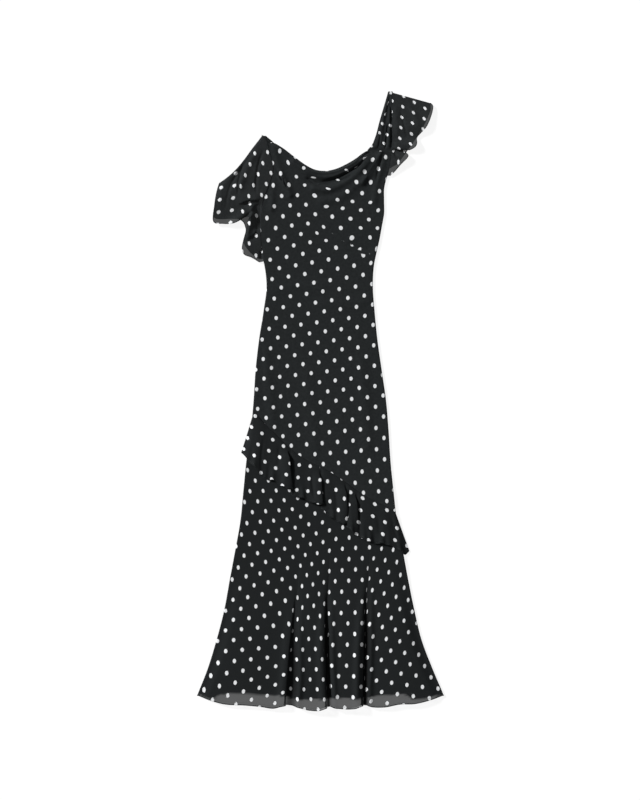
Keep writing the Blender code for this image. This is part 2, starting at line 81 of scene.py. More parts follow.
# %% [markdown]
# Black cloth shows its folds only where light rakes across it. One broad lamp far off at the upper
# left, little more than half way up, gives every fold a lit side and a shaded one, and a dim one
# opposite keeps the shaded side readable. The floor glows a little, like a light table, so that the
# shadows on it stay pale.

# %% Lights and floor
FLOOR_HALF = 4.5
FLOOR_LEVEL = -0.0004
FLOOR_COLOUR = (0.12, 0.12, 0.12)
FLOOR_GLOW = 0.87
SURROUND_STRENGTH = 0.2
LAMPS = [
    {"name": "key", "towards": (-1.25, 0.8, 0.9), "breadth": 10, "strength": 5.2},
    {"name": "fill", "towards": (1.0, -0.5, 1.6), "breadth": 50, "strength": 0.3},
]


def far_lamp(name, towards, breadth, strength):
    """Distant light that comes from a direction, as broad in the sky as so many degrees."""
    light = bpy.data.lights.new(name, "SUN")
    light.angle = np.radians(breadth)
    light.energy = strength
    lamp = place(name, light)
    lamp.location = towards
    lamp.rotation_euler = (-lamp.location).to_track_quat("-Z", "Y").to_euler()


for lamp in LAMPS:
    far_lamp(**lamp)
world = bpy.data.worlds.new("surround")
world.use_nodes = True
world.node_tree.nodes["Background"].inputs["Strength"].default_value = SURROUND_STRENGTH
world.node_tree.nodes["Background"].inputs["Color"].default_value = (1, 1, 1, 1)
bpy.context.scene.world = world

corners = [(x, y, FLOOR_LEVEL) for x, y in ((-1, -1), (1, -1), (1, 1), (-1, 1))]
floor_mesh = bpy.data.meshes.new("floor")
floor_mesh.from_pydata([(x * FLOOR_HALF, y * FLOOR_HALF, z) for x, y, z in corners], [], [(0, 1, 2, 3)])
floor = place("floor", floor_mesh)

# %% [markdown]
# ## Shader maths as plain expressions
#
# A material's pattern is a sum written with + - * and **. The class below lets Python's operators add
# Math nodes, so that the pattern reads like the formula that it is. Any other node comes from one
# method, which sets the node's own choices first and its sockets after that.

# %% A value over the surface, and a material's nodes
class Value:
    """A number that varies over the surface. Each operator on it adds one Math node."""

    def __init__(self, shader, socket):
        self.shader = shader
        self.socket = socket

    def maths(self, operation, *terms):
        return self.shader.node("ShaderNodeMath", {"operation": operation}, dict(enumerate(terms)))

    def __add__(self, other):
        return self.maths("ADD", self, other)

    def __sub__(self, other):
        return self.maths("SUBTRACT", self, other)

    def __rsub__(self, other):
        return self.maths("SUBTRACT", other, self)

    def __mul__(self, other):
        return self.maths("MULTIPLY", self, other)

    def __pow__(self, other):
        return self.maths("POWER", self, other)

    __radd__ = __add__
    __rmul__ = __mul__

    def fraction(self):
        return self.maths("FRACT", self)

    def sine(self):
        return self.maths("SINE", self)

    def clamped(self):
        """Held between 0 and 1."""
        return self.maths("MINIMUM", self.maths("MAXIMUM", self, 0.0), 1.0)


class Shader:
    """A material with its Principled node, and one method that adds any other node."""

    def __init__(self, name):
        self.material = bpy.data.materials.new(name)
        self.material.use_nodes = True
        self.tree = self.material.node_tree
        self.surface = self.tree.nodes["Principled BSDF"]

    def connect(self, socket, value):
        if isinstance(value, Value):
            self.tree.links.new(value.socket, socket)
        else:
            socket.default_value = value

    def node(self, kind, settings, sockets, output=0):
        made = self.tree.nodes.new(kind)
        for name, setting in settings.items():
            setattr(made, name, setting)
        for name, value in sockets.items():
            self.connect(made.inputs[name], value)
        return Value(self, made.outputs[output])

    def colours(self, share, first, second):
        """Mix of two colours, the second one by share."""
        pair = [colour if isinstance(colour, Value) else (*colour, 1) for colour in (first, second)]
        return self.node("ShaderNodeMix", {"data_type": "RGBA"}, {0: share, 6: pair[0], 7: pair[1]}, 2)

    def attribute(self, name):
        """Value that the mesh gives at each point."""
        return self.node("ShaderNodeAttribute", {"attribute_name": name}, {}, "Fac")

    def bump(self, strength, depth, relief):
        """Relief too fine to be built, as deep as so many metres."""
        sockets = {"Strength": strength, "Distance": depth, "Height": relief}
        return self.node("ShaderNodeBump", {}, sockets, "Normal")

    def grain(self, scale, detail=2.0):
        """Noise fixed to the piece, in grains for each metre."""
        on_piece = self.node("ShaderNodeTexCoord", {}, {}, "Object")
        sockets = {"Vector": on_piece, "Scale": scale, "Detail": detail}
        return self.node("ShaderNodeTexNoise", {}, sockets, "Fac")

    def cloth_place(self):
        """The cloth's own (i, j) from its UV map, as two values."""
        uv = self.node("ShaderNodeUVMap", {"uv_map": "Cloth"}, {}, "UV")
        return [self.node("ShaderNodeSeparateXYZ", {}, {"Vector": uv}, axis) for axis in "XY"]

    def finish(self, **sockets):
        for name, value in sockets.items():
            self.connect(self.surface.inputs[name.replace("_", " ")], value)
        return self.material


paint = Shader("floor")
floor_mesh.materials.append(paint.finish(
    Base_Color=(*FLOOR_COLOUR, 1), Roughness=0.9, Emission_Color=(1, 1, 1, 1), Emission_Strength=FLOOR_GLOW))

# %% [markdown]
# ## Reading a table smoothly
#
# The dress is described by short tables in millimetres, with a row for each station. Between rows a
# cubic is read, so an edge bends as softly as cloth does, and a few rows are enough. Past its ends a
# table either stays at its last value or runs on straight.

# %% Tables, and curves through them
def table(columns, rows):
    """Rows of numbers as one array for each named column."""
    return dict(zip(columns, np.array(rows, float).T))


def smooth(at, places, values, run_on=False):
    """Cubic through the rows whose slopes come from the neighbouring rows, held or run on at the ends."""
    order = np.argsort(places)
    places = places[order]
    values = values[order]
    slopes = np.gradient(values, places)
    held = np.clip(at, places[0], places[-1])
    row = np.clip(np.searchsorted(places, held) - 1, 0, len(places) - 2)
    step = places[row + 1] - places[row]
    part = (held - places[row]) / step
    rest = 1 - part
    start = values[row] * (1 + 2 * part) + slopes[row] * step * part
    end = values[row + 1] * (1 + 2 * rest) - slopes[row + 1] * step * rest
    found = start * rest ** 2 + end * part ** 2
    if run_on:
        found = found + slopes[0] * np.minimum(at - places[0], 0)
        found = found + slopes[-1] * np.maximum(at - places[-1], 0)
    return found


def curve(points):
    """Function that reads a smooth height anywhere across, from a few (across, height) points."""
    across, height = np.array(points, float).T
    return lambda at: smooth(at, across, height)


def ramp(value, start, full):
    """Rise smoothly from 0 at start to 1 at full, and stay there: 3 p^2 - 2 p^3, p the part of the way."""
    part = np.clip((value - start) / (full - start), 0, 1)
    return part * part * (3 - 2 * part)


# %% [markdown]
# ## How the dress lies
#
# These are the sizes of the solid model: the edges of the bodice and the skirt, the neckline, the
# slanting seam, the valleys between the skirt's flutes, and the hem. Lengths are millimetres, with the
# shoulders towards +Y. At its sides the front turns under over a small roll, and the rest lies flat.

# %% Edges of the dress
CLOTH = 1.0
LAY_HEIGHT = 5.8
ROLL = LAY_HEIGHT / 2
SEAM_GAP = 0.4
SIDE_SEAM_GAP = 0.8
ARMHOLE_LAP = 1.6
SEAM_START = -142.0
FRILL_LIFT = 1.5
LIFT_AT = (-70, -30, 130, 170)
FOLD_FADE = 26.0

BODY = table(("height", "left", "right", "turn"), [
    (-285, -189, 180, 24),
    (-212, -182, 171.5, 30),
    (-142, -175, 164.5, 34),
    (-71, -164.5, 160, 38),
    (0, -158, 154, 40),
    (70, -153.5, 144, 40),
    (141, -145.5, 134, 38),
    (211, -134.5, 127, 34),
    (270, -127.5, 123, 25),
    (320, -133, 126, 15),
    (345, -138.5, 131, 10),
    (376, -142, 138, 6),
    (411, -143, 144.5, 5),
    (440, -142, 149.5, 5),
    (470, -137, 149.5, 5),
    (501, -125, 150, 5),
    (525, -117, 156, 5),
    (541, -113, 161, 5),
    (562, -116, 165.5, 5),
    (583, -121, 168, 5),
    (606, -127, 169, 5),
])
neck_height = curve([
    (-128, 605), (-113, 606), (-95, 597), (-64, 574), (-36, 553.5), (-17, 543.5), (4, 539.5),
    (35, 544), (58, 554), (82, 568), (101, 582), (110, 587), (145, 585), (169, 583),
])
seam_height = curve([
    (-158, -26), (-132, -55), (-113, -74), (-73, -114), (-33, -142),
    (9, -162), (47, -186), (101, -224), (157, -253), (178, -266),
])
SKIRT = table(("height", "left", "valley_1", "valley_2", "valley_3", "right", "turn"), [
    (-725, -302, -83, 20, 102, 301, 8),
    (-693, -290, -80, 19, 102, 289, 8),
    (-636, -267.5, -75, 16, 103, 265, 9),
    (-565, -245.5, -69, 14, 105, 238, 10),
    (-495, -227.5, -59, 15, 107, 221, 12),
    (-424, -214.5, -54, 18, 111, 206.5, 15),
    (-354, -201.5, -50, 21, 115, 193.5, 19),
    (-283, -189, -48, 22, 118, 179.5, 24),
    (-212, -182, -46, 23, 120, 171.5, 30),
    (-142, -175, -44, 24, 121, 164.5, 34),
    (-20, -159.5, -42, 26, 122, 158, 39),
])
hem_height = curve([
    (-290, -694), (-263, -704), (-231, -713), (-177, -716.5), (-140, -720), (-110, -724), (-83, -716),
    (-60, -719), (-24, -728), (-2, -728), (15, -720.5), (40, -723.5), (80, -723.5), (102, -716),
    (124, -721), (150, -721), (186, -714), (220, -713), (262, -703), (289, -694),
])
VALLEYS = ("valley_1", "valley_2", "valley_3")


def lift(across, height):
    """How far the pressed back frill raises the cloth that lies over it."""
    return np.interp(seam_height(across) - height, LIFT_AT, (0, FRILL_LIFT, FRILL_LIFT, 0))


def edges(height):
    """Left edge, right edge and turn of the dress at a height."""
    names = ("left", "right", "turn")
    upper = [smooth(height, BODY["height"], BODY[name]) for name in names]
    lower = [smooth(height, SKIRT["height"], SKIRT[name]) for name in names]
    return [np.where(height > SEAM_START, high, low) for high, low in zip(upper, lower)]


def settle(across_of, height_of, guess, rounds=40):
    """Height where a column, whose place across depends on height, meets a curve."""
    height = guess
    for _ in range(rounds):
        height = height_of(across_of(height))
    return height


print("middle of the dress, mm: neckline at", neck_height(0.0), "and hem at", hem_height(0.0))

# %% [markdown]
# ## Folds along given lines
#
# A crease is a line of a few points. The relief near it is a bell curve of the distance from the line,
# raised for a ridge and lowered for a trough. Where cloth laps over itself, a bell isn't enough: the
# cloth has to run forward, turn back under and run on again. Sliding the points across the line by
# -over t e^(-t^2/2), with t the distance in widths, gives just such an S when over exceeds the width.

# %% Distance from a line, creases and laps
LINE_STEPS = 24
LAP_REACH = 6


def crease_rows(*rows):
    """Creases, each a width, a height, the share of its line over which both ends run out, and the line."""
    return [dict(zip(("width", "height", "run_out", "line"), row)) for row in rows]


def lap_rows(*rows):
    """Laps, each with how the cloth slides and steps, where it runs out, and the line it folds along."""
    return [dict(zip(("width", "over", "rise", "run_out", "open_end", "sink", "line"), row)) for row in rows]


def beside(points, across, height):
    """Signed distance from a smooth line (positive on its left), share of its length, direction across."""
    points = np.array(points, float)
    row = np.arange(len(points), dtype=float)
    at = np.linspace(0, row[-1], LINE_STEPS + 1)
    line = np.stack([smooth(at, row, points[:, 0]), smooth(at, row, points[:, 1])], axis=1)
    nearest = np.full(np.shape(across), np.inf)
    side, way, left_x, left_y = (np.zeros(np.shape(across)) for _ in range(4))
    for k, (start, end) in enumerate(zip(line[:-1], line[1:])):
        run = end - start
        part = np.clip(((across - start[0]) * run[0] + (height - start[1]) * run[1]) / (run @ run), 0, 1)
        dx = across - start[0] - part * run[0]
        dy = height - start[1] - part * run[1]
        away = np.hypot(dx, dy)
        closer = away < nearest
        length = np.hypot(*run)
        nearest = np.where(closer, away, nearest)
        side = np.where(closer, np.sign(run[0] * dy - run[1] * dx), side)
        way = np.where(closer, (k + part) / LINE_STEPS, way)
        left_x = np.where(closer, -run[1] / length, left_x)
        left_y = np.where(closer, run[0] / length, left_y)
    return side * nearest, way, left_x, left_y


def creased(across, height, creases):
    """Sum of ridges and troughs: height e^(-(distance / width)^2), faded over both ends of the line."""
    relief = np.zeros(np.broadcast(across, height).shape)
    for crease in creases:
        away, way, _, _ = beside(crease["line"], across, height)
        run_out = crease["run_out"]
        fade = ramp(way, 0, run_out) * ramp(way, 1, 1 - run_out) if run_out else 1.0
        relief = relief + crease["height"] * fade * np.exp(-(away / crease["width"]) ** 2)
    return relief


def lapped(grid, laps):
    """Lay cloth over itself: slide points across each line by -over t e^(-t^2/2), and drop the far side.

    The side on the right of the line's direction lies on top and overhangs the side on its left. The step
    between them is rise, and sink is the share of it that goes down.
    """
    grid = grid.copy()
    for lap in laps:
        away, way, left_x, left_y = beside(lap["line"], grid[..., 0], grid[..., 1])
        t = away / lap["width"]
        fade = ramp(way, 0, lap["run_out"])
        if not lap["open_end"]:
            fade = fade * ramp(way, 1, 1 - lap["run_out"])
        inside = fade * np.exp(-t * t / 2)
        slide = -lap["over"] * t * inside
        grid[..., 0] += slide * left_x
        grid[..., 1] += slide * left_y
        step = lap["rise"] * (1 - lap["sink"] - ramp(t, -1, 1))
        grid[..., 2] += fade * step * np.exp(-(t / LAP_REACH) ** 2)
    return grid

# %% [markdown]
# ## Where the spots are
#
# The spots stand on a slanting lattice, printed on the cloth before it was cut. Each piece of cloth
# keeps its own place on that lattice: i counts spots along one slant and j along the other. A UV map
# holds (i, j), so a spot stands at every whole pair, and the print stretches and turns with the cloth.
# Each row gives i and j in the middle of the dress at a height, and how they grow for 100 mm across.
# Where folds have taken cloth up, the print is read from as much further along. Around the bust dart it is
# pulled towards the stitching, and turned above it.

# %% Lattice of the print
BODICE_PRINT = table(("height", "i", "j", "i_across", "j_across"), [
    (560, -5.97, -9.13, 2.90, -2.49),
    (460, -4.02, -6.87, 2.79, -2.56),
    (380, -2.41, -4.73, 2.96, -2.16),
    (300, -0.97, -2.89, 2.89, -2.22),
    (150, 1.92, 0.54, 2.94, -2.39),
    (0, 4.93, 3.87, 2.92, -2.47),
    (-150, 7.82, 7.16, 2.92, -2.61),
    (-270, 9.91, 9.76, 3.02, -2.59),
])
COWL_FOLD = [(20, 452), (70, 480), (95, 503), (110, 525), (134, 574)]
COWL_CREASE = [(-4, 513), (22, 519), (42, 526), (58, 534), (76, 544), (94, 557), (117, 584)]
TAKEN_UP = [
    {"by": (-8.5, 0), "height": [(425, 505)], "across": [(-30, 10)], "line": None},
    {"by": (-7, 0), "height": [(440, 460)], "across": [(-10, 30)], "line": COWL_FOLD, "blend": 4},
    {"by": (0, 6.5), "height": [(440, 480)], "across": [(-30, 20), (135, 110)], "line": None},
    {"by": (0, 8), "height": [(505, 535)], "across": [(-75, -35), (40, -20)], "line": None},
    {"by": (-3, 21), "height": [], "across": [(62, 80)], "line": COWL_CREASE, "blend": 2},
]
SHOULDER_SLACK = {"share": 0.15, "above": 485, "across": (-62, -82)}
DART = table(("across", "height"), [(20, 388), (60, 374), (79, 366), (88, 353), (100, 348), (140, 341)])
DART_BLEND = ((12, 62), (60, 3))
DART_BARE = ((95, 108), (1.0, 2.6))
COWL_SQUEEZE = {"most": 1.15, "below_neck": (40, 58), "across": (-45, -15, 62, 92)}
DART_TURN_I = (-40, 145)
DART_TURN_J = (-30, 60)
DART_SLACK = 0.012
DART_FADES_AT = 455.0
DART_TIP = {"middle": (40, 380), "half_length": 21, "half_width": 7, "turned": ((0.8, 0.6), (-0.6, 0.8))}
PULLS = table(("middle_across", "middle_height", "over_dart", "reach", "across", "height"), [
    (84, 374, 1, 34, 6.2, 6.6),
    (100, 352, 1, 14, -1.0, 4.0),
    (118, 372, 1, 20, 2.0, 2.5),
    (8, 408, 1, 18, -1.0, -6.0),
    (104, 340, 0, 17, 5.5, -6.0),
    (52, 346, 0, 20, 3.0, -1.5),
    (132, 352, 1, 13, 0.5, 7.0),
])
FLUTE_PRINTS = [
    table(("height", "i", "j", "i_across", "j_across"), rows) for rows in (
        [(-250, 2.09, -6.24, 3.30, -3.06), (-430, 5.22, -1.07, 3.39, -2.52),
         (-580, 6.93, 2.44, 2.74, -2.40), (-725, 10.97, 6.01, 3.40, -2.12)],
        [(-300, 3.10, -4.62, 3.39, -2.95), (-430, 5.68, -1.67, 4.02, -3.29),
         (-580, 8.36, 1.51, 3.48, -3.27), (-725, 11.17, 4.80, 3.08, -3.16)],
        [(-300, 3.25, -4.38, 3.41, -3.09), (-430, 5.99, -1.90, 3.23, -3.02),
         (-580, 9.28, 0.94, 2.96, -2.91), (-725, 12.58, 3.59, 2.65, -2.70)],
        [(-300, 2.19, -3.43, 3.83, -3.60), (-430, 6.99, -1.41, 2.92, -3.93),
         (-580, 11.39, -0.66, 2.67, -3.31), (-725, 15.82, 0.51, 2.25, -2.77)],
    )
]


def print_at(rows, across, height):
    """(i, j) of the print at a place: the row's middle value, plus its growth across."""
    return np.stack([
        smooth(height, rows["height"], rows[name], run_on=True)
        + smooth(height, rows["height"], rows[name + "_across"], run_on=True) * across / 100
        for name in ("i", "j")
    ], axis=-1)


def draped(across, height):
    """Where the cowl's cloth comes from: each fold between a point and the flat cloth took some of it up."""
    slack = np.maximum(height - SHOULDER_SLACK["above"], 0) * ramp(across, *SHOULDER_SLACK["across"])
    moved_across, moved_height = across, height - SHOULDER_SLACK["share"] * slack
    for fold in TAKEN_UP:
        share = 1.0
        if fold["line"]:
            share = ramp(beside(fold["line"], across, height)[0], -fold["blend"], fold["blend"])
        for ends in fold["height"]:
            share = share * ramp(height, *ends)
        for ends in fold["across"]:
            share = share * ramp(across, *ends)
        moved_across = moved_across + fold["by"][0] * share
        moved_height = moved_height + fold["by"][1] * share
    over_dart = height > np.interp(across, DART["across"], DART["height"])
    for k, reach in enumerate(PULLS["reach"]):
        away = np.hypot(across - PULLS["middle_across"][k], height - PULLS["middle_height"][k]) / reach
        pull = np.exp(-away ** 2) * (over_dart == PULLS["over_dart"][k])
        moved_across = moved_across - PULLS["across"][k] * pull
        moved_height = moved_height - PULLS["height"][k] * pull
    return moved_across, moved_height


def squeezed_at_cowl(across, height):
    """How much shorter the spots look than they are, where the cloth rolls over under the neckline."""
    inner, outer = COWL_SQUEEZE["below_neck"]
    below = ramp(neck_height(across) - height, outer, inner)
    return COWL_SQUEEZE["most"] * below * np.interp(across, COWL_SQUEEZE["across"], (0, 1, 1, 0))


def bodice_print(across, height):
    """The bodice's print, with the cloth above the dart turned a little: steps that grow towards the side."""
    found = print_at(BODICE_PRINT, *draped(across, height))
    over_dart = height - np.interp(across, DART["across"], DART["height"])
    half = np.interp(across, *DART_BLEND) / 2
    above = ramp(over_dart, -half, half)
    found[..., 0] -= above * ramp(across, *DART_TURN_I)
    slack = DART_SLACK * np.clip(DART_FADES_AT - height, 0, None)
    found[..., 1] -= above * slack * ramp(across, *DART_TURN_J)
    return found


def stepped_print(across, height, spot, step_i, step_j):
    """(i, j) of a print that lies straight, from the place of one spot and the steps to its neighbours."""
    steps = np.linalg.inv(np.array([step_i, step_j], float).T)
    away = np.stack(np.broadcast_arrays(across - spot[0], height - spot[1]), axis=-1)
    return away @ steps.T


def straight_print(across, height, start, right, up):
    """(i, j) of a print that lies straight: start, plus growths for 100 mm to the right and 100 mm up."""
    return np.stack([start[k] + right[k] * across / 100 + up[k] * height / 100 for k in (0, 1)], axis=-1)


# %% [markdown]
# ## Spotted crepe and black lining
#
# The crepe is a light, dull, near-black cloth with a pebbled grain. Its spots are a little longer than
# wide. Distance from a spot is measured in the cloth's own millimetres: the fractions of (i, j) are carried
# through the two slanting steps of the lattice. Four values at each point of a sheet change the cloth:
# sheer lets light through between spots, bare leaves spots off, squeezed shortens them where the cloth rolls
# over, and the fourth darkens the colour: from 0 to 1 for cloth with more cloth under it, 1 where it is
# lined, and from 1 to 2 as painted shade on the skirt's valley floors.

# %% Materials
POINT_VALUES = ("sheer", "bare", "backed", "squeezed")
SPOT_ACROSS, SPOT_ALONG = 3.95, 4.85
SPOT_WOBBLE = 0.9
SPOT_EDGE = 0.8
STEP_I = (20.5, -21.0)
STEP_J = (-17.2, -26.2)
BLACK = (0.0066, 0.0080, 0.0086)
GREY_BLACK = (0.0124, 0.0146, 0.0154)
# Painted shade: the near-black that the skirt's valley floors are painted with.
PAINTED_SHADE_BLACK = (0.0012, 0.0014, 0.0016)
SPOT_WHITE = (0.66, 0.67, 0.68)
SPOT_SHADE = (0.58, 0.59, 0.60)
LINING_BLACK = (0.007, 0.0075, 0.008)
# How far the fourth value darkens the crepe: lined cloth up to 1, and painted shade on the skirt's valley
# floors above 1.
BACKING_AND_SHADE_DARKER = 0.7
RAGGED_GRAIN, MOTTLE_GRAIN, PEBBLE_GRAIN = 420, 160, 1500
MOTTLE_CONTRAST = 1.8
THREAD_WAVE = 7.5
THREAD_RELIEF, PEBBLE_RELIEF, SPOT_RELIEF = 0.15, 0.8, 0.5
CREPE_ROUGHNESS, SPOT_SMOOTHER = 0.92, 0.2
LINING_WAVE = 12
LINING_GRAIN, LINING_GLOSS_GRAIN = 120, 60
LINING_ROUGHNESS, LINING_UNEVEN = 0.6, 0.1
TWIST_GRAIN, TWIST_WAVE, THREAD_GRAIN = 3000, 6, 400
THREAD_ROUGHNESS, THREAD_UNEVEN = 0.5, 0.2
CREPE_BUMP, LINING_BUMP, THREAD_BUMP = (0.6, 0.0003), (0.4, 0.0002), (0.5, 0.0001)


def spotted_crepe(name):
    """Near-black crepe: spot where hypot(x / across, y / along) < 1, x and y in mm from its middle."""
    crepe = Shader(name)
    i, j = crepe.cloth_place()
    part_i = (i + 0.5).fraction() - 0.5
    part_j = (j + 0.5).fraction() - 0.5
    x = part_i * STEP_I[0] + part_j * STEP_J[0]
    y = part_i * STEP_I[1] + part_j * STEP_J[1]
    sheer, bare, backed, squeezed = [crepe.attribute(name) for name in POINT_VALUES]
    away = ((x * (1 / SPOT_ACROSS)) ** 2 + (y * (squeezed + 1) * (1 / SPOT_ALONG)) ** 2) ** 0.5
    ragged = crepe.grain(RAGGED_GRAIN) - 0.5
    inside = (1 - away) * SPOT_ALONG + ragged * SPOT_WOBBLE
    spot = (inside * (1 / SPOT_EDGE) + 0.5).clamped() * (1 - bare)
    mottle = ((crepe.grain(MOTTLE_GRAIN, 3.0) - 0.5) * MOTTLE_CONTRAST + 0.5).clamped()
    # Cloth with more cloth under it is darker; past 1 the value is painted shade on the skirt's valley
    # floors, mixed towards a blacker colour.
    dark = crepe.colours(mottle - backed * BACKING_AND_SHADE_DARKER, BLACK, GREY_BLACK)
    dark = crepe.colours((backed - 1).clamped(), dark, PAINTED_SHADE_BLACK)
    white = crepe.colours(mottle, SPOT_SHADE, SPOT_WHITE)
    warp = ((i * STEP_I[0] + j * STEP_J[0]) * THREAD_WAVE).sine()
    weft = ((i * STEP_I[1] + j * STEP_J[1]) * THREAD_WAVE).sine()
    relief = warp * weft * THREAD_RELIEF + crepe.grain(PEBBLE_GRAIN) * PEBBLE_RELIEF + spot * SPOT_RELIEF
    return crepe.finish(
        Base_Color=crepe.colours(spot, dark, white),
        Roughness=CREPE_ROUGHNESS - spot * SPOT_SMOOTHER,
        Alpha=1 - sheer * (1 - spot),
        Normal=crepe.bump(*CREPE_BUMP, relief),
        Specular_IOR_Level=0.2,
    )


def black_lining(name):
    """Plain black lining with a fine even weave, a little glossier than the crepe."""
    lining = Shader(name)
    i, j = lining.cloth_place()
    weave = (i * LINING_WAVE).sine() * (j * LINING_WAVE).sine()
    return lining.finish(
        Base_Color=lining.colours(lining.grain(LINING_GRAIN), LINING_BLACK, BLACK),
        Roughness=LINING_ROUGHNESS + lining.grain(LINING_GLOSS_GRAIN) * LINING_UNEVEN,
        Normal=lining.bump(*LINING_BUMP, weave),
    )


def black_thread(name):
    """Twisted black thread: a slanting fine wave over a smoother black."""
    thread = Shader(name)
    twist = (thread.grain(TWIST_GRAIN, 1.0) * TWIST_WAVE).sine()
    return thread.finish(
        Base_Color=thread.colours(thread.grain(THREAD_GRAIN), BLACK, GREY_BLACK),
        Roughness=THREAD_ROUGHNESS + thread.grain(THREAD_GRAIN) * THREAD_UNEVEN,
        Normal=thread.bump(*THREAD_BUMP, twist),
    )


crepe = spotted_crepe("spotted_crepe")
lining = black_lining("black_lining")
thread = black_thread("black_thread")
print("materials:", crepe.name, lining.name, thread.name)

# %% [markdown]
# ## From a grid of points to a sheet
#
# Every piece of cloth is a function of two parameters, worked out as one array of points. This helper
# joins the points into four-sided faces and gives the mesh its print and the four values. A Solidify
# modifier gives most sheets a real thickness. Sheer cloth and the closely folded front stay a single layer
# of faces, so that light passes each layer once.

# %% Sheets
THICKNESS = 0.5
made = {}


def sheet(name, grid, spots, material, thick=True, closed=False, **values):
    """Faces (r, c), (r, c+1), (r+1, c+1), (r+1, c) over a grid in millimetres, rows running up."""
    rows, columns = grid.shape[:2]
    number = np.arange(rows * columns).reshape(rows, columns)
    if closed:
        number = np.vstack([number, number[:1]])
    faces = np.stack([number[:-1, :-1], number[:-1, 1:], number[1:, 1:], number[1:, :-1]], axis=-1)
    faces = faces.reshape(-1, 4)
    mesh = bpy.data.meshes.new(name)
    mesh.from_pydata((grid.reshape(-1, 3) * MM).tolist(), [], faces.tolist())
    uv = mesh.uv_layers.new(name="Cloth")
    uv.data.foreach_set("uv", spots.reshape(-1, 2)[faces.ravel()].astype(np.float32).ravel())
    for key in POINT_VALUES:
        spread = np.broadcast_to(np.asarray(values.get(key, 0.0), np.float32), (rows, columns))
        mesh.attributes.new(key, "FLOAT", "POINT").data.foreach_set("value", spread.ravel())
    mesh.materials.append(material)
    mesh.shade_smooth()
    piece = place(name, mesh)
    if thick:
        solidify = piece.modifiers.new("thickness", "SOLIDIFY")
        solidify.thickness = THICKNESS * MM
        solidify.offset = -1
    made[name] = piece
    steps = np.linalg.norm(np.cross(np.diff(grid, axis=0)[:, :-1], np.diff(grid, axis=1)[:-1]), axis=-1)
    print(name, "faces", len(faces), "area, square metres", round(float(steps.sum()) * MM * MM, 4))


def raised(grid):
    """Lift a grid by the pressed back frill under it."""
    grid = grid.copy()
    grid[..., 2] += lift(grid[..., 0], grid[..., 1])
    return grid


def rolled(across, height, top, roll_steps=8, turn_steps=8):
    """Carry the top of a piece round both sides and back underneath, with the arc length across."""
    left, _, left_turn = edges(height[:, 0])
    _, right, right_turn = edges(height[:, -1])
    sides = []
    for edge, turn, inward, row_height in ((left, left_turn, 1, height[:, 0]),
                                           (right, right_turn, -1, height[:, -1])):
        flat = np.linspace(1, 0, turn_steps + 1)[:-1]
        reach = edge[:, None] + inward * (ROLL + flat * (turn - ROLL)[:, None])
        angle = np.linspace(0, np.pi, roll_steps + 1)[:-1]
        bend = edge[:, None] + inward * (ROLL - ROLL * np.sin(angle))
        rise = np.broadcast_to(ROLL - ROLL * np.cos(angle), bend.shape)
        flat_run = np.pi * ROLL + np.abs(reach - edge[:, None] - inward * ROLL)
        bend_run = np.broadcast_to(ROLL * (np.pi - angle), bend.shape)
        along = np.hstack([flat_run, bend_run])
        side_across = np.hstack([reach, bend])
        side_top = np.hstack([np.zeros_like(reach), rise])
        side_height = np.broadcast_to(row_height[:, None], side_across.shape)
        unrolled = (edge + inward * ROLL)[:, None] - inward * along
        sides.append((np.stack([side_across, side_height, side_top], axis=-1), unrolled))
    middle = np.stack([across, height, top], axis=-1)
    grid = np.concatenate([sides[0][0], middle, sides[1][0][:, ::-1]], axis=1)
    flat_across = np.concatenate([sides[0][1], across, sides[1][1][:, ::-1]], axis=1)
    return grid, flat_across


def edge_fade(across, height):
    """1 over the middle of the cloth and 0 at its rolled sides, where folds run out."""
    left, right, _ = edges(height)
    return ramp(np.minimum(across - left - ROLL, right - ROLL - across), 0, FOLD_FADE)

# %% [markdown]
# ## Rolled hems and stitches
#
# Free edges of crepe chiffon are rolled to a narrow round hem and caught down by a row of stitches. A
# roll is a thin tube carried along the edge, and keeps the cloth's print. Stitches are short bars of
# thread: one bar is repeated along the line as a single mesh.

# %% Hem rolls and stitches
ROLL_SIDES = 8
ROLL_RADIUS = 0.9
POINTED = 0.05
STITCH_STEP = 2.6
STITCH_LENGTH = 1.7
STITCH_THICKNESS = 0.3
STITCH_LIFT = 0.2
BAR = np.array([(x, y, z) for x in (-0.5, 0.5) for y in (-0.5, 0.5) for z in (0, 1)])
BAR_FACES = np.array([(0, 1, 3, 2), (4, 6, 7, 5), (0, 4, 5, 1), (2, 3, 7, 6), (1, 5, 7, 3), (0, 2, 6, 4)])


def path_frame(points):
    """Unit directions along a path, level to its side, and up from it."""
    along = np.gradient(points, axis=0)
    along /= np.linalg.norm(along, axis=1, keepdims=True)
    side = np.cross(along, (0, 0, 1.0))
    side /= np.linalg.norm(side, axis=1, keepdims=True)
    return along, side, np.cross(side, along)


def hem_roll(name, edge, spots, sheer=0.0, radius=ROLL_RADIUS):
    """Tube round an edge: centre + r (side cos a - up sin a), closed to a point at both ends."""
    _, side, up = path_frame(edge)
    swell = np.full(len(edge), radius)
    swell[[0, -1]] *= POINTED
    angle = np.linspace(0, 2 * np.pi, ROLL_SIDES + 1)[:-1, None, None]
    centre = edge.copy()
    centre[:, 2] = np.maximum(centre[:, 2] - radius / 2, radius)
    tube = centre + swell[:, None] * (side * np.cos(angle) + up * np.sin(angle))
    around = np.broadcast_to(spots, (ROLL_SIDES, *spots.shape))
    sheet(name, tube, around, crepe, sheer=sheer, thick=False, closed=True)


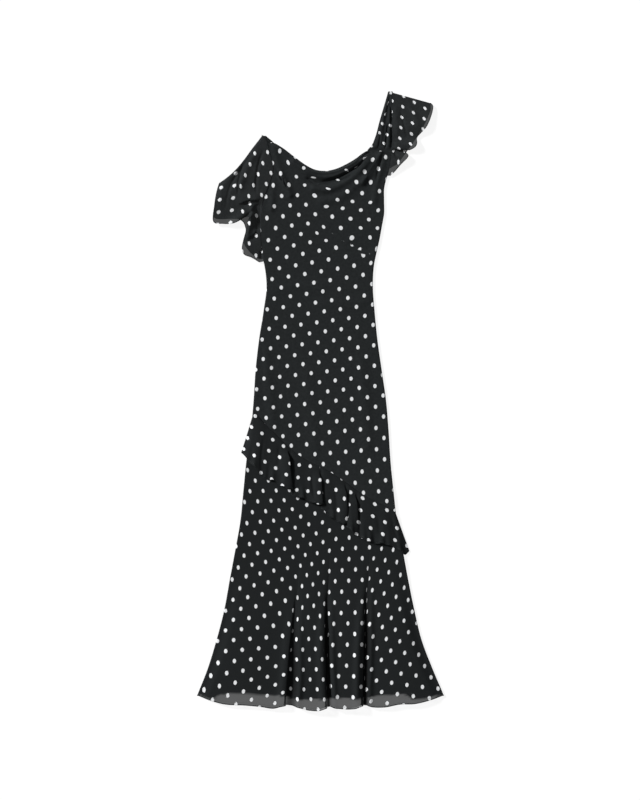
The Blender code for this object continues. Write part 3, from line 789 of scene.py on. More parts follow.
def stitches(name, path):
    """Bars of thread just over a path, one for each step of its length, joined into one mesh."""
    path = path + (0, 0, STITCH_LIFT)
    run = np.concatenate([[0], np.cumsum(np.linalg.norm(np.diff(path, axis=0), axis=1))])
    at = np.arange(STITCH_STEP, run[-1] - STITCH_STEP, STITCH_STEP)
    centre, ahead = [np.stack([np.interp(at + shift, run, path[:, k]) for k in range(3)], axis=-1)
                     for shift in (0, STITCH_LENGTH / 2)]
    along = (ahead - centre) / np.linalg.norm(ahead - centre, axis=1, keepdims=True)
    side = np.cross(along, (0, 0, 1.0))
    up = np.cross(side, along)
    bars = centre[:, None] + (along[:, None] * BAR[:, :1] * STITCH_LENGTH
                              + side[:, None] * BAR[:, 1:2] * STITCH_THICKNESS
                              + up[:, None] * BAR[:, 2:] * STITCH_THICKNESS)
    faces = BAR_FACES + len(BAR) * np.arange(len(at))[:, None, None]
    mesh = bpy.data.meshes.new(name)
    mesh.from_pydata((bars.reshape(-1, 3) * MM).tolist(), [], faces.reshape(-1, 4).tolist())
    mesh.materials.append(thread)
    made[name] = place(name, mesh)
    print(name, "stitches", len(at))

# %% [markdown]
# ## Bodice and upper skirt
#
# The front is one piece of cloth from the draped neckline down to the slanting seam. Its cowl falls in
# a few soft ridges, with narrow dark creases where the cloth laps over itself. A sheet read from the
# tables keeps the outline, and each crease is a line of listed points.

# %% Front of the bodice
FRONT_COLUMNS = 190
LOW_ROWS, COWL_ROWS = 170, 170
COWL_DEPTH = 0.24
NECK_GUESS = 560.0
SHOULDER_TIP = (-132, 606)
SHOULDER_TIP_BARE = 12.0
FRONT_LOWEST = 1.5
NECK_ROLL_RADIUS = 0.7
NECK_ROLL = {"height": 3.6, "inside": 5.0, "width": 3.6, "ends": (110, 90)}
CREASES = crease_rows(
    (8, 6, 0, [(-62, 562), (-28, 538), (4, 526), (36, 529), (62, 541), (88, 557), (108, 573)]),
    (7, -2.5, 0, [(-29, 522), (0, 510), (23, 514), (47, 526), (70, 540), (94, 558), (114, 577)]),
    (9, 5, 0, [(-16, 500), (8, 495), (36, 502), (66, 519), (96, 543), (118, 566)]),
    (11, 3, 0, [(4, 468), (34, 474), (66, 492), (98, 522)]),
    (7, 5, 0, [(143, 586), (129, 561), (112, 534), (99, 512)]),
    (9, 3, 0, [(157, 580), (148, 548), (136, 512), (128, 470)]),
    (8, 5, 0, [(-112, 592), (-104, 556), (-90, 522), (-72, 484)]),
    (8, 3, 0, [(-118, 580), (-114, 540), (-116, 500), (-116, 450)]),
    (9, -1.5, 0, [(140, 349), (108, 357), (78, 368)]),
    (13, 1.5, 0, [(-118, 262), (-60, 268), (0, 262)]),
    (13, 1.5, 0, [(118, 232), (60, 226), (10, 232)]),
    (12, 2, 0, [(-134, 120), (-120, 20), (-112, -60)]),
    (14, 2, 0, [(96, 90), (104, 0), (110, -110)]),
    (16, 1.5, 0, [(-30, 60), (-24, -20), (-16, -110)]),
)
NARROW_CREASES = crease_rows(
    (2.4, -6.5, 0.25, COWL_CREASE),
    (2.2, -6.5, 0.25, [(-107, 548), (-101, 536), (-94, 524), (-88, 512)]),
    (2.0, -5, 0.3, [(-89, 524), (-84, 511), (-77, 497)]),
    (2.2, -5.5, 0.3, [(-117, 534), (-120, 512), (-124, 488)]),
    (2.0, -5.5, 0.25, [(-34, 524), (-18, 516), (-4, 509)]),
    (2.0, -2.6, 0.3, [(-28, 518), (-12, 508), (6, 505)]),
    (2.6, -2, 0.4, [(-70, 566), (-46, 551), (-24, 538)]),
    (3.4, -2.4, 0.35, [(30, 512), (56, 520), (80, 534)]),
    (2.4, -3, 0.3, [(82, 560), (100, 574), (122, 590)]),
    (3.0, -3, 0.35, [(146, 585), (141, 560), (134, 532), (130, 510)]),
    (2.6, -2.6, 0.35, [(160, 580), (158, 560), (155, 535)]),
    (2.6, -1.6, 0.3, [(84, 362), (106, 356), (130, 350)]),
)
LAPS = lap_rows(
    (3.0, 8.5, 7, 0.35, False, 0.7, [(104, 519), (110, 530), (118, 543), (126, 556), (134, 574)]),
)


def body_across(share, height):
    left, right, _ = edges(height)
    return left + ROLL + share * (right - left - 2 * ROLL)


def front_grid():
    """Columns between the rolled sides, each running from the slanting seam up to the neckline."""
    share = np.linspace(0, 1, FRONT_COLUMNS)
    along = np.concatenate([np.linspace(0, 1 - COWL_DEPTH, LOW_ROWS, endpoint=False),
                            np.linspace(1 - COWL_DEPTH, 1, COWL_ROWS)])[:, None]
    low = settle(lambda h: body_across(share, h), seam_height, np.full_like(share, SEAM_START))
    high = settle(lambda h: body_across(share, h), neck_height, np.full_like(share, NECK_GUESS))
    height = low + SEAM_GAP / 2 + along * (high - low - SEAM_GAP / 2)
    return body_across(share, height), height


def neck_roll(across, height):
    """Soft ridge that follows the neckline: r e^(-((d - inside) / width)^2), d the distance from the line."""
    step = 2.0
    slope = (neck_height(across + step) - neck_height(across - step)) / (2 * step)
    away = (neck_height(across) - height) / np.sqrt(1 + slope ** 2)
    past = (away - NECK_ROLL["inside"]) / NECK_ROLL["width"]
    return NECK_ROLL["height"] * ramp(across, *NECK_ROLL["ends"]) * np.exp(-past ** 2)


across, height = front_grid()
fade = edge_fade(across, height)
relief = creased(across, height, CREASES + NARROW_CREASES) + neck_roll(across, height)
grid, flat_across = rolled(across, height, np.maximum(LAY_HEIGHT + fade * relief, FRONT_LOWEST))
folded = lapped(grid, LAPS)
spots = bodice_print(flat_across + folded[..., 0] - grid[..., 0], folded[..., 1])
over_dart = grid[..., 1] - np.interp(grid[..., 0], DART["across"], DART["height"])
from_tip = (grid[..., :2] - DART_TIP["middle"]) @ np.array(DART_TIP["turned"])
bare = (np.abs(over_dart) < np.interp(grid[..., 0], *DART_BARE)) & (from_tip[..., 0] > 0)
past_tip = np.hypot(from_tip[..., 0] / DART_TIP["half_length"], from_tip[..., 1] / DART_TIP["half_width"])
bare = bare | (past_tip < 1)
bare = bare | (np.hypot(grid[..., 0] - SHOULDER_TIP[0], grid[..., 1] - SHOULDER_TIP[1]) < SHOULDER_TIP_BARE)
squeezed = squeezed_at_cowl(folded[..., 0], folded[..., 1])
grid = raised(folded)
sheet("front_panel_cloth", grid, spots, crepe, thick=False, bare=bare, squeezed=squeezed)
at_neck = (grid[-1, :, 0] < NECK_ROLL["ends"][0]) & (grid[-1, :, 2] > LAY_HEIGHT)
hem_roll("neckline_roll", grid[-1, at_neck], spots[-1, at_neck], radius=NECK_ROLL_RADIUS)

# %% [markdown]
# ## Flared skirt
#
# Four broad flutes stand between three narrow valleys, growing from nothing under the frill to the hem.
# Each flute is a raised sine between its valleys. Low down, the flute on the left of a valley folds over
# it, and the valley's floor beyond the fold is painted blacker, as painted shade. The last part above the
# hem hangs below the lining, so it is sheer.

# %% Skirt front
LOBE_COLUMNS = (72, 56, 48, 66)
SKIRT_ROWS = 110
VALLEY_CROWDING = 0.12
HEM_GUESS = -700.0
lining_edge = curve([
    (-280, -692), (-262, -697), (-254, -699), (-244, -692), (-225, -688), (-180, -686), (-140, -690),
    (-85, -694), (-68, -699), (-20, -700), (60, -698), (100, -699), (130, -693), (183, -690),
    (205, -691), (214, -700), (230, -700), (248, -697), (270, -692),
])
FLUTE_TOP, FLUTE_FULL = -330.0, -600.0
FLUTE_ROUNDNESS = 0.5
SHEER_HEM = 0.335
SHEER_BLEND = 3.0
# The second is how wide the painted valley shade is where it begins, as a share of its full width.
FLOOR_START, VALLEY_SHADE_START = 0.35, 0.4
FOLD_BEGINS = (-3, -1)
VALLEY_BARE = (5.4, 0.9)
STITCHES_FROM = 10
SKIRT_ROLL_RADIUS = 1.15
FLUTES = table(("height", "valley_width", "valley_depth"), [
    (8.0, 15.0, 0.75),
    (12.5, 10.0, 1.0),
    (12.0, 9.0, 1.0),
    (9.0, 9.0, 0.0),
])
FLOORS = table(("middle", "half_width", "from", "full"), [
    (9, 14, -430, -690),
    (-1, 8, -400, -620),
    (-2, 9, -380, -600),
])
# Painted shade on the valley floors: its place and half width, how dark it goes, and the heights where it
# starts and is full.
VALLEY_SHADE_ROWS = table(("middle", "half_width", "share", "from", "full"), [
    (11, 11.5, 0.65, -470, -680),
    (-2, 4.5, 0.9, -400, -560),
    (2, 7.5, 1.0, -380, -590),
])
SHOULDER = {"rise": 5.5, "beyond": 6.0, "width": 7.5}
SKIRT_TUCK = 3.0
TUCK_DROP = 0.8
VALLEY_BLENDS = [((-600, -430), (8, 60)), ((-600, -430), (8, 60)), ((-420, -330), (8, 40))]
SKIRT_LAPS = lap_rows(
    (4.0, 9, 4, 0.5, True, 0.0, [(-53, -420), (-65, -500), (-75, -580), (-80, -650), (-85, -724)]),
    (3.2, 8, 4, 0.5, True, 0.0, [(13, -440), (9.5, -510), (8.5, -580), (10, -650), (12.5, -722)]),
    (3.6, 9, 4.5, 0.5, True, 0.0, [(105, -440), (102, -510), (99, -590), (97, -660), (97, -720)]),
)


def valleys_at(height):
    return [smooth(height, SKIRT["height"], SKIRT[name]) for name in VALLEYS]


def skirt_top(across, height):
    """Height of the flutes: a sine power between stops, growing down the skirt, softer at low valleys."""
    grown = ramp(height, FLUTE_TOP, FLUTE_FULL)
    left, right, _ = edges(height)
    valleys = valleys_at(height)
    stops = [left, *valleys, right]
    relief = np.zeros_like(across)
    for k, (low, high) in enumerate(zip(stops[:-1], stops[1:])):
        inside = (across >= low) & (across <= high)
        part = np.clip((across - low) / (high - low), 0, 1)
        relief = np.where(inside, FLUTES["height"][k] * np.sin(np.pi * part) ** FLUTE_ROUNDNESS, relief)
    for k, valley in enumerate(valleys):
        away = (across - valley) / FLUTES["valley_width"][k]
        shoulder = 0.5 * (FLUTES["height"][k] + FLUTES["height"][k + 1])
        relief = np.maximum(relief, (1 - FLUTES["valley_depth"][k]) * shoulder * np.exp(-away ** 2))
    relief = grown * relief
    for k, valley in enumerate(valleys):
        deep = ramp(height, FLOORS["from"][k], FLOORS["full"][k])
        half = FLOORS["half_width"][k] * (FLOOR_START + (1 - FLOOR_START) * deep)
        away = np.abs(across - valley - deep * FLOORS["middle"][k])
        relief = relief * (1 - deep * np.exp(-(away / half) ** 4))
        past = (away - half - SHOULDER["beyond"]) / SHOULDER["width"]
        relief = relief + deep * SHOULDER["rise"] * np.exp(-past ** 2)
    return LAY_HEIGHT + edge_fade(across, height) * relief


def lobe_columns():
    """Columns of the skirt, crowded towards its valleys: the flute each is on, and its part of it."""
    flute, part = [], []
    for k, count in enumerate(LOBE_COLUMNS):
        even = np.linspace(0, 1, count + 1)[(1 if k else 0):]
        part.append(even - VALLEY_CROWDING * np.sin(2 * np.pi * even))
        flute.append(np.full(even.shape, k))
    return np.concatenate(flute), np.concatenate(part)


def skirt_across(flute, part, height):
    left, right, _ = edges(height)
    stops = np.stack(np.broadcast_arrays(left + ROLL, *valleys_at(height), right - ROLL))
    low = np.take_along_axis(stops, np.broadcast_to(flute, height.shape)[None], axis=0)[0]
    high = np.take_along_axis(stops, np.broadcast_to(flute + 1, height.shape)[None], axis=0)[0]
    return low + part * (high - low)


def skirt_grid(edge=hem_height, lower=SEAM_GAP / 2, rows=SKIRT_ROWS):
    """Skirt front from its lower edge up to just below the seam."""
    flute, part = lobe_columns()
    low = settle(lambda h: skirt_across(flute, part, h), edge, np.full(part.shape, HEM_GUESS))
    high = settle(lambda h: skirt_across(flute, part, h), seam_height, np.full(part.shape, SEAM_START))
    along = np.linspace(0, 1, rows)[:, None]
    height = low + along * (high - lower - low)
    across = skirt_across(flute, part, height)
    return across, height, skirt_top(across, height)


def skirt_print(across, height, slid=0.0):
    """(i, j) from each flute's rows, blended across the valleys, and read where laps slid the cloth."""
    found = print_at(FLUTE_PRINTS[0], across + slid, height)
    for valley, rows, blend in zip(valleys_at(height), FLUTE_PRINTS[1:], VALLEY_BLENDS):
        half = np.interp(height, *blend) / 2
        share = ramp(across - valley, -half, half)[..., None]
        found = found * (1 - share) + print_at(rows, across + slid, height) * share
    return found


def in_valley(across, height):
    """1 within the deep part of a valley, where the print is folded away."""
    near = np.min([np.abs(across - valley) for valley in valleys_at(height)], axis=0)
    return ramp(height, FLUTE_TOP, FLUTE_FULL) * ramp(near, *VALLEY_BARE)


def painted_valley_shade(across, height, before_folding):
    """Painted shade: 1 on a valley's floor, from the fold on its left to the floor's far side."""
    most = np.zeros_like(across)
    for k, valley in enumerate(valleys_at(height)):
        deep = ramp(height, VALLEY_SHADE_ROWS["from"][k], VALLEY_SHADE_ROWS["full"][k])
        grown = VALLEY_SHADE_START + (1 - VALLEY_SHADE_START) * deep
        away = (across - valley - grown * VALLEY_SHADE_ROWS["middle"][k]) / (grown * VALLEY_SHADE_ROWS["half_width"][k])
        under = ramp(before_folding - valley, *FOLD_BEGINS)
        most = np.maximum(most, VALLEY_SHADE_ROWS["share"][k] * deep * under * np.exp(-away ** 4))
    return most


def hem_sheer(across, height):
    """See-through share: full below the lining's edge, none above it."""
    return SHEER_HEM * ramp(height - lining_edge(across), 0, -SHEER_BLEND)


across, height, top = skirt_grid(lower=-SKIRT_TUCK)
tucked = ramp(height - seam_height(across), -SKIRT_TUCK, 0)
grid, flat_across = rolled(across, height, top - TUCK_DROP * tucked)
sheer = hem_sheer(grid[..., 0], grid[..., 1])
bare = in_valley(flat_across, grid[..., 1])
folded = lapped(grid, SKIRT_LAPS)
spots = skirt_print(flat_across, grid[..., 1], folded[..., 0] - grid[..., 0])
# Painted shade: the valley floors beyond the folds are painted darker, and are not sheer.
valley_shade = painted_valley_shade(folded[..., 0], folded[..., 1], flat_across)
backed = (1 - sheer / SHEER_HEM) * (1 - valley_shade) + 2 * valley_shade
grid = raised(folded)
sheet("skirt_front_cloth", grid, spots, crepe, thick=False,
      sheer=sheer * (1 - valley_shade), bare=bare, backed=backed)
hem_roll("skirt_hem_roll", grid[0], spots[0], radius=SKIRT_ROLL_RADIUS)
stitches("skirt_hem_stitches", grid[1, STITCHES_FROM:-STITCHES_FROM])

# %% [markdown]
# ## Slanting frill
#
# The frill is a strip gathered onto the slanting seam. Between its four deep folds it stands off the
# skirt and waves, and its two ends come down beside the skirt. Each row of the table is a line of gathers,
# from the seam down to the free edge, with how high it stands there.

# %% Frill
FRILL_COLUMNS, FRILL_ROWS = 300, 36
FRILL_START = -1.5
SEAM_DIP = 0.9
DIP_ROWS = 0.09
SWITCH_WIDTH = 4.0
RIPPLES = [(23.0, 1.2, 0.4), (37.0, 1.6, 2.0), (14.5, 0.6, 1.1)]
RIPPLE_FROM = 0.6
RIPPLE_EDGE = 0.9
FRILL_STEP = (-14, 6)
FRILL_SPREAD = 0.7
FRILL_BACKED = 0.8
CREASES_FULL = 1 / 3
FRILL = table(("seam_across", "edge_across", "edge_height", "rise"), [
    (-157, -187, -124, 0),
    (-150, -174, -135, 4),
    (-138, -153, -160, 9),
    (-124, -134, -181, 6),
    (-99, -105, -191, 5),
    (-80, -79, -207, 9),
    (-70, -69, -211, 0.5),
    (-63, -60, -222, 9),
    (-35, -33, -234, 6),
    (-9, -6, -243, 8),
    (1, 3, -246, 0.5),
    (9, 12, -264, 9),
    (29, 34, -281, 6),
    (50, 54, -288, 8),
    (59, 61, -284, 0.5),
    (66, 69, -302, 9),
    (76, 80, -314, 7),
    (86, 88, -310, 0.5),
    (94, 99, -325, 9),
    (124, 129, -335, 5),
    (148, 160, -339, 6),
    (162, 178, -349, 2),
    (171, 197, -360, 2),
    (176, 209, -355, 0),
])
FRILL_SWITCHES = (-68, 2, 64)
FRILL_PRINTS = [
    {"start": (3.62, -6.11), "right": (3.28, -1.90), "up": (-1.16, -3.20)},
    {"start": (0.38, -5.33), "right": (3.82, -0.38), "up": (-0.36, -3.38)},
    {"start": (-4.83, -4.21), "right": (3.31, -2.47), "up": (-1.73, -2.42)},
    {"start": (-4.47, -6.95), "right": (3.22, -1.62), "up": (-0.56, -3.28)},
]
FRILL_LAPS = lap_rows(
    (3.6, 10, 8, 0.25, True, 0.15, [(-77, -116), (-73, -160), (-65, -220)]),
    (3.4, 9.5, 7, 0.35, True, 0.2, [(-2, -166), (1, -205), (4, -250)]),
    (3.4, 9.5, 7, 0.3, True, 0.2, [(57, -196), (60, -240), (65, -292)]),
    (3.4, 9.5, 7.5, 0.3, True, 0.2, [(82, -216), (85, -265), (89, -314)]),
)
FRILL_CREASES = crease_rows(
    (3.4, -1.2, 0.3, [(-134, -88), (-139, -130), (-141, -178)]),
    (5.0, -2, 0.4, [(-96, -96), (-98, -130), (-100, -170)]),
    (4.0, -4, 0.35, [(-22, -170), (-18, -205), (-12, -244)]),
    (4.5, -2.2, 0.4, [(34, -196), (37, -235), (42, -280)]),
    (5.0, -2.2, 0.4, [(132, -262), (138, -300), (142, -336)]),
    (3.6, -1.2, 0.3, [(166, -270), (176, -312), (190, -352)]),
)


def frill_field(columns, rows, gap):
    """Rows from the free edge up to a gap under the seam: places, part of the way, edge's places, rise."""
    row = np.arange(len(FRILL["rise"]), dtype=float)
    at = np.linspace(0, row[-1], columns)
    seam_across, edge_across, edge_height, rise = [smooth(at, row, values) for values in FRILL.values()]
    down = np.linspace(1, 0, rows)[:, None]
    start = seam_height(seam_across) - gap
    across = seam_across + down * (edge_across - seam_across)
    return across, start + down * (edge_height - start), down, edge_across, rise


def frill_rest(across, height):
    """Height the frill lies at: over the skirt, or past its sides on the frill of the back."""
    left, right, _ = edges(height)
    inside = np.minimum(across - left, right - across)
    top = LAY_HEIGHT + lift(across, height) + SEAM_GAP + CLOTH
    beside_skirt = 2 * CLOTH + SEAM_GAP
    return beside_skirt + ramp(inside, *FRILL_STEP) * (top - beside_skirt)


def rippled(across):
    """Small waves of the free edge: a sum of sines, each with its length, height and start."""
    return sum(rise * np.sin(2 * np.pi * across / length + start) for length, rise, start in RIPPLES)


def frill_print(across, height, slid_x=0.0, slid_y=0.0):
    """(i, j) from the straight print of each stretch between folds, switched inside the folds."""
    found, *others = [straight_print(across + slid_x, height + slid_y, **rows) for rows in FRILL_PRINTS]
    for fold, other in zip(FRILL_SWITCHES, others):
        found = np.where((across > fold)[..., None], other, found)
    return found


across, height, down, edge_across, rise = frill_field(FRILL_COLUMNS, FRILL_ROWS, FRILL_START)
wave = rippled(edge_across) * ramp(down, RIPPLE_FROM, 1)
height = height + RIPPLE_EDGE * wave
rest = frill_rest(across, height)
top = rest + np.maximum(rise, 0) * down ** FRILL_SPREAD + wave
top = top + creased(across, height, FRILL_CREASES) * ramp(down, 0, CREASES_FULL)
top = np.maximum(top, rest) - SEAM_DIP * ramp(down, DIP_ROWS, 0)
switch = np.min([np.abs(across - fold) for fold in FRILL_SWITCHES], axis=0)
grid = lapped(np.stack([across, height, top], axis=-1), FRILL_LAPS)
spots = frill_print(across, height, grid[..., 0] - across, grid[..., 1] - height)
sheet("frill_front_cloth", grid, spots, crepe, bare=switch < SWITCH_WIDTH, backed=FRILL_BACKED)
hem_roll("frill_hem_roll", grid[0], spots[0])
stitches("frill_hem_stitches", grid[1])

# %% [markdown]
# ## Straps
#
# Each strap is a gathered band that comes up from the neckline, rolls over the shoulder and goes down
# behind. Its pleats are humps of a squared sine that fade out near the fold.

# %% Straps
STRAP_COLUMNS = 40
STRAP_ROWS = 64
STRAP_TUCK = 6.0
STRAP_DROP = 1.0
STRAP_JOIN = 12.0
STRAP_SLID = {"share": (0.42, 0.32), "height": (610, 625), "by": (4.0, -11.0)}
STRAP_BARE = {"edge": 4.5, "above": 600}
STRAP_PRINT = {"start": (2.55, 27.2), "right": (3.57, -2.59), "up": (-1.30, -3.86)}
FOLD_STEPS = 16
STRAP_BACK_ROWS = 48
STRAP_PLEAT = 2.5
STRAP_PLEATS = 2
PLEAT_FADE = 30.0
STRAP_CREASES = crease_rows(
    (2.2, -3.5, 0.2, [(163, 706), (165.5, 680), (166, 645)]),
    (2.6, -4.5, 0.2, [(159, 655), (155.5, 620), (152, 584)]),
    (2.0, -3.5, 0.2, [(166, 650), (166.5, 615), (165, 584)]),
    (2.6, -2.2, 0.3, [(141, 640), (139, 612), (134, 584)]),
)
RIGHT_STRAP = table(("height", "left", "right"), [
    (589, 110, 169),
    (602, 121, 169.5),
    (616, 127, 169.5),
    (659, 139, 169.5),
    (696, 150, 169.5),
    (727.5, 159, 169.5),
])
RIGHT_STRAP_BACK = table(("height", "left", "right"), [
    (574, 124, 160),
    (600, 129, 161),
    (640, 138, 165),
    (727.5, 159, 169.5),
])
LEFT_STRAP = table(("height", "left", "right"), [
    (606, -127, -114),
    (614, -131, -121),
    (623, -138, -129),
])
LEFT_STRAP_BACK = table(("height", "left", "right"), [
    (593, -114, -105),
    (606, -118, -110),
    (623, -138, -129),
])
STRAPS = {"right": (RIGHT_STRAP, RIGHT_STRAP_BACK), "left": (LEFT_STRAP, LEFT_STRAP_BACK)}


def strap_grid(front, behind):
    """Rows up the front, half a circle over the shoulder, and rows down the back."""
    share = np.linspace(0, 1, STRAP_COLUMNS)
    bottom, top = front["height"][[0, -1]]
    front_heights = np.linspace(bottom - STRAP_TUCK, top - ROLL, STRAP_ROWS)
    angle = np.linspace(0, np.pi, FOLD_STEPS)[1:-1]
    back_heights = np.linspace(top - ROLL, behind["height"][0], STRAP_BACK_ROWS)
    height = np.concatenate([front_heights, top - ROLL + ROLL * np.sin(angle), back_heights])
    level = np.concatenate([np.full(len(front_heights), LAY_HEIGHT), ROLL + ROLL * np.cos(angle),
                            np.zeros(len(back_heights))])
    is_back = level < ROLL
    left, right = [
        np.where(is_back, smooth(height, behind["height"], behind[side]),
                 smooth(height, front["height"], front[side])) for side in ("left", "right")
    ]
    across = left[:, None] + share * (right - left)[:, None]
    pleat = STRAP_PLEAT * np.sin(np.pi * STRAP_PLEATS * share) ** 2
    fade = ramp(height, top - ROLL, top - ROLL - PLEAT_FADE) * ~is_back
    tucked = STRAP_DROP * ramp(height, bottom + STRAP_TUCK, bottom) * ~is_back
    height = np.broadcast_to(height[:, None], across.shape)
    relief = (pleat + creased(across, height, STRAP_CREASES)) * ramp(height, bottom, bottom + STRAP_JOIN)
    return np.stack([across, height, (level - tucked)[:, None] + fade[:, None] * relief], axis=-1)


for side, layers in STRAPS.items():
    grid = strap_grid(*layers)
    share = np.linspace(0, 1, STRAP_COLUMNS)
    slid = ramp(share, *STRAP_SLID["share"]) * ramp(grid[..., 1], *STRAP_SLID["height"])
    spots = straight_print(*[grid[..., k] - STRAP_SLID["by"][k] * slid for k in (0, 1)], **STRAP_PRINT)
    from_edge = share * (grid[:, -1:, 0] - grid[:, :1, 0])
    bare = (from_edge < STRAP_BARE["edge"]) & (grid[..., 1] > STRAP_BARE["above"])
    sheet(f"strap_{side}_cloth", grid, spots, crepe, bare=bare | (side == "left"))

# %% [markdown]
# ## Flutter sleeves
#
# A flutter sleeve is a flared strip folded along its top. Its front layer runs from the armhole out to
# a wavy edge, rolls at the fold, and comes back as the layer behind. Each row of the table is a line of
# gathers between the armhole and the edge.

# %% Flutter sleeves
FLOUNCE_COLUMNS = 72
FLOUNCE_FINENESS = 10
FLOUNCE_THINNING = 1.8
FLOUNCE_SPREAD = 0.8
LEFT_BOW = 7.0
BOW_SKEW = 0.7
BOW_FADE = 30.0
CORNER_FADE = 12.0
CORNER_SHARE = 0.1
SHEER_FLOUNCE = 0.07
FLOUNCE_LOWEST = 2.2
SLEEVE_TIP = (-142, 606)
SLEEVE_TIP_BARE = 9.0
FLOUNCE_KEYS = ("seam_height", "edge_across", "edge_height")
RIGHT_FLOUNCE = table((*FLOUNCE_KEYS, "rise"), [
    (528, 163.5, 529, 0),
    (540, 174, 539, 2),
    (558, 188, 555, 6),
    (576, 205.5, 574, 9),
    (588, 199, 588, 0),
    (603, 224, 602, 8),
    (618, 227, 620, 1),
    (645, 248, 643, 8),
    (675, 260, 671, 5),
    (704, 264, 691, 2),
    (725, 259, 700, 0),
])
RIGHT_FLOUNCE_BACK = table(FLOUNCE_KEYS, [
    (702, 258, 683),
    (650, 242, 647),
    (600, 216, 606),
    (545, 180, 556),
])
LEFT_FLOUNCE = table((*FLOUNCE_KEYS, "rise"), [
    (327, -143.5, 325, 0),
    (350, -162, 336.5, 2),
    (368, -179, 343, 5),
    (384, -184.5, 357, 6),
    (400, -181, 378, 3),
    (416, -174, 401, 2),
    (432, -170, 422, 4),
    (448, -168, 431, 8),
    (463, -178, 432, 1),
    (480, -190, 424, 6),
    (498, -207, 416.5, 8),
    (520, -230, 416, 4),
    (545, -252, 421, 5),
    (570, -249.5, 458, 7),
    (592, -245, 488, 3),
    (618, -238.5, 512, 0),
])
LEFT_FLOUNCE_BACK = table(FLOUNCE_KEYS, [
    (612, -243, 490),
    (570, -248, 460),
    (550, -249, 430),
    (490, -192, 427),
    (440, -176, 404),
    (412, -181, 374),
    (385, -168, 352),
    (332, -148, 334),
])


def armhole(height, outward):
    """Place across of the armhole seam, which runs on up the side of the strap."""
    left, right, _ = edges(height)
    side, edge = ("right", right) if outward > 0 else ("left", left)
    strap = STRAPS[side][0]
    up = smooth(height, strap["height"], strap[side])
    return np.where(height > strap["height"][0], up, edge) - outward * ARMHOLE_LAP


def read_rows(rows, keys, fineness):
    """The table's rows and as many more between them as the fineness says, as columns of an array."""
    row = np.arange(len(rows[keys[0]]), dtype=float)
    at = np.linspace(0, row[-1], fineness * (len(row) - 1) + 1)
    return [smooth(at, row, rows[key])[:, None] for key in keys]


def flounce_grid(in_front, behind, outward, bow):
    """Front layer, half a roll at the fold, back layer; and where each point is across the cloth."""
    share = np.linspace(0, 1, FLOUNCE_COLUMNS)
    y0, x1, y1, rise = read_rows(in_front, (*FLOUNCE_KEYS, "rise"), FLOUNCE_FINENESS)
    x0 = armhole(y0, outward)
    level = LAY_HEIGHT + TUCK_DROP - FLOUNCE_THINNING * share
    across = x0 + share * (x1 - x0)
    bowed = bow * np.exp(-((y0 - y0[-1]) / BOW_FADE) ** 2) * np.sin(2 * np.pi * share ** BOW_SKEW)
    corner = bow * np.exp(-((y0 - y0[-1]) / CORNER_FADE) ** 2) * np.exp(-(share / CORNER_SHARE) ** 2)
    height = y0 + share * (y1 - y0) + bowed + corner
    top = level + np.maximum(rise, 0) * share ** FLOUNCE_SPREAD
    fold_run = np.array([x1[-1, 0] - x0[-1, 0], y1[-1, 0] - y0[-1, 0]])
    fold_run = fold_run / np.linalg.norm(fold_run)
    beyond = outward * np.array([-fold_run[1], fold_run[0]])
    radius = level / 2
    fold_height = height[-1] - radius * beyond[1]
    clear = outward * armhole(height[-1] + radius, outward)
    fold_across = outward * np.maximum(outward * (across[-1] - radius * beyond[0]), clear)
    angle = np.linspace(0, np.pi, FOLD_STEPS)[:, None]
    by0, bx1, by1 = read_rows(behind, FLOUNCE_KEYS, FLOUNCE_FINENESS)
    bx0 = armhole(by0, outward)
    back_across = bx0 + share * (bx1 - bx0)
    grid = np.stack([
        np.concatenate([across[:-1], fold_across + radius * np.sin(angle) * beyond[0], back_across]),
        np.concatenate([height[:-1], fold_height + radius * np.sin(angle) * beyond[1],
                        by0 + share * (by1 - by0)]),
        np.concatenate([top[:-1], radius + radius * np.cos(angle), np.zeros_like(back_across)]),
    ], axis=-1)
    return grid if outward > 0 else grid[:, ::-1]


RIGHT_PRINTS = [
    {"start": (4.67, 15.87), "right": (3.85, -3.84), "up": (-1.91, -1.58)},
    {"start": (-5.90, 31.78), "right": (3.79, -2.20), "up": (-0.35, -3.84)},
]
LEFT_PRINTS = [
    {"start": (12.05, 2.47), "right": (2.45, -3.69), "up": (-2.15, -2.08)},
    {"spot": (-177, 529), "step_i": (19, -23), "step_j": (-11, -26)},
    {"spot": (-206, 476), "step_i": (-3, -29), "step_j": (-31, -4.5)},
]
RIGHT_SWITCH = [(166, 592), (185, 591), (205, 590), (240, 594)]
LEFT_SWITCH = [(-130, 471), (-165, 472), (-182, 468), (-191, 457), (-192, 440), (-200, 420), (-214, 400)]
LEFT_FOLD = [(-196, 440), (-194.5, 470), (-194.5, 504), (-189, 535), (-182, 570), (-172, 620)]
RIGHT_LAPS = lap_rows(
    (3.0, 8, 5, 0.15, False, 0.5, [(236, 600), (212, 592), (190, 591), (168, 593)]),
)
LEFT_LAPS = lap_rows(
    (3.0, 8, 8, 0.25, False, 0.5, [(-142, 470), (-160, 472), (-178, 469), (-194, 460)]),
    (2.8, 7, 4, 0.35, False, 0.5, [(-148, 402), (-160, 391), (-173, 377)]),
)
RIGHT_CREASES = crease_rows(
    (7, 2.5, 0.3, [(174, 700), (178, 660), (180, 610)]),
    (2.6, -2.2, 0.3, [(186, 690), (196, 650), (206, 612)]),
    (6, 2.5, 0.3, [(205, 700), (222, 665), (236, 640)]),
    (3.0, -3, 0.3, [(172, 585), (180, 570), (190, 562)]),
)
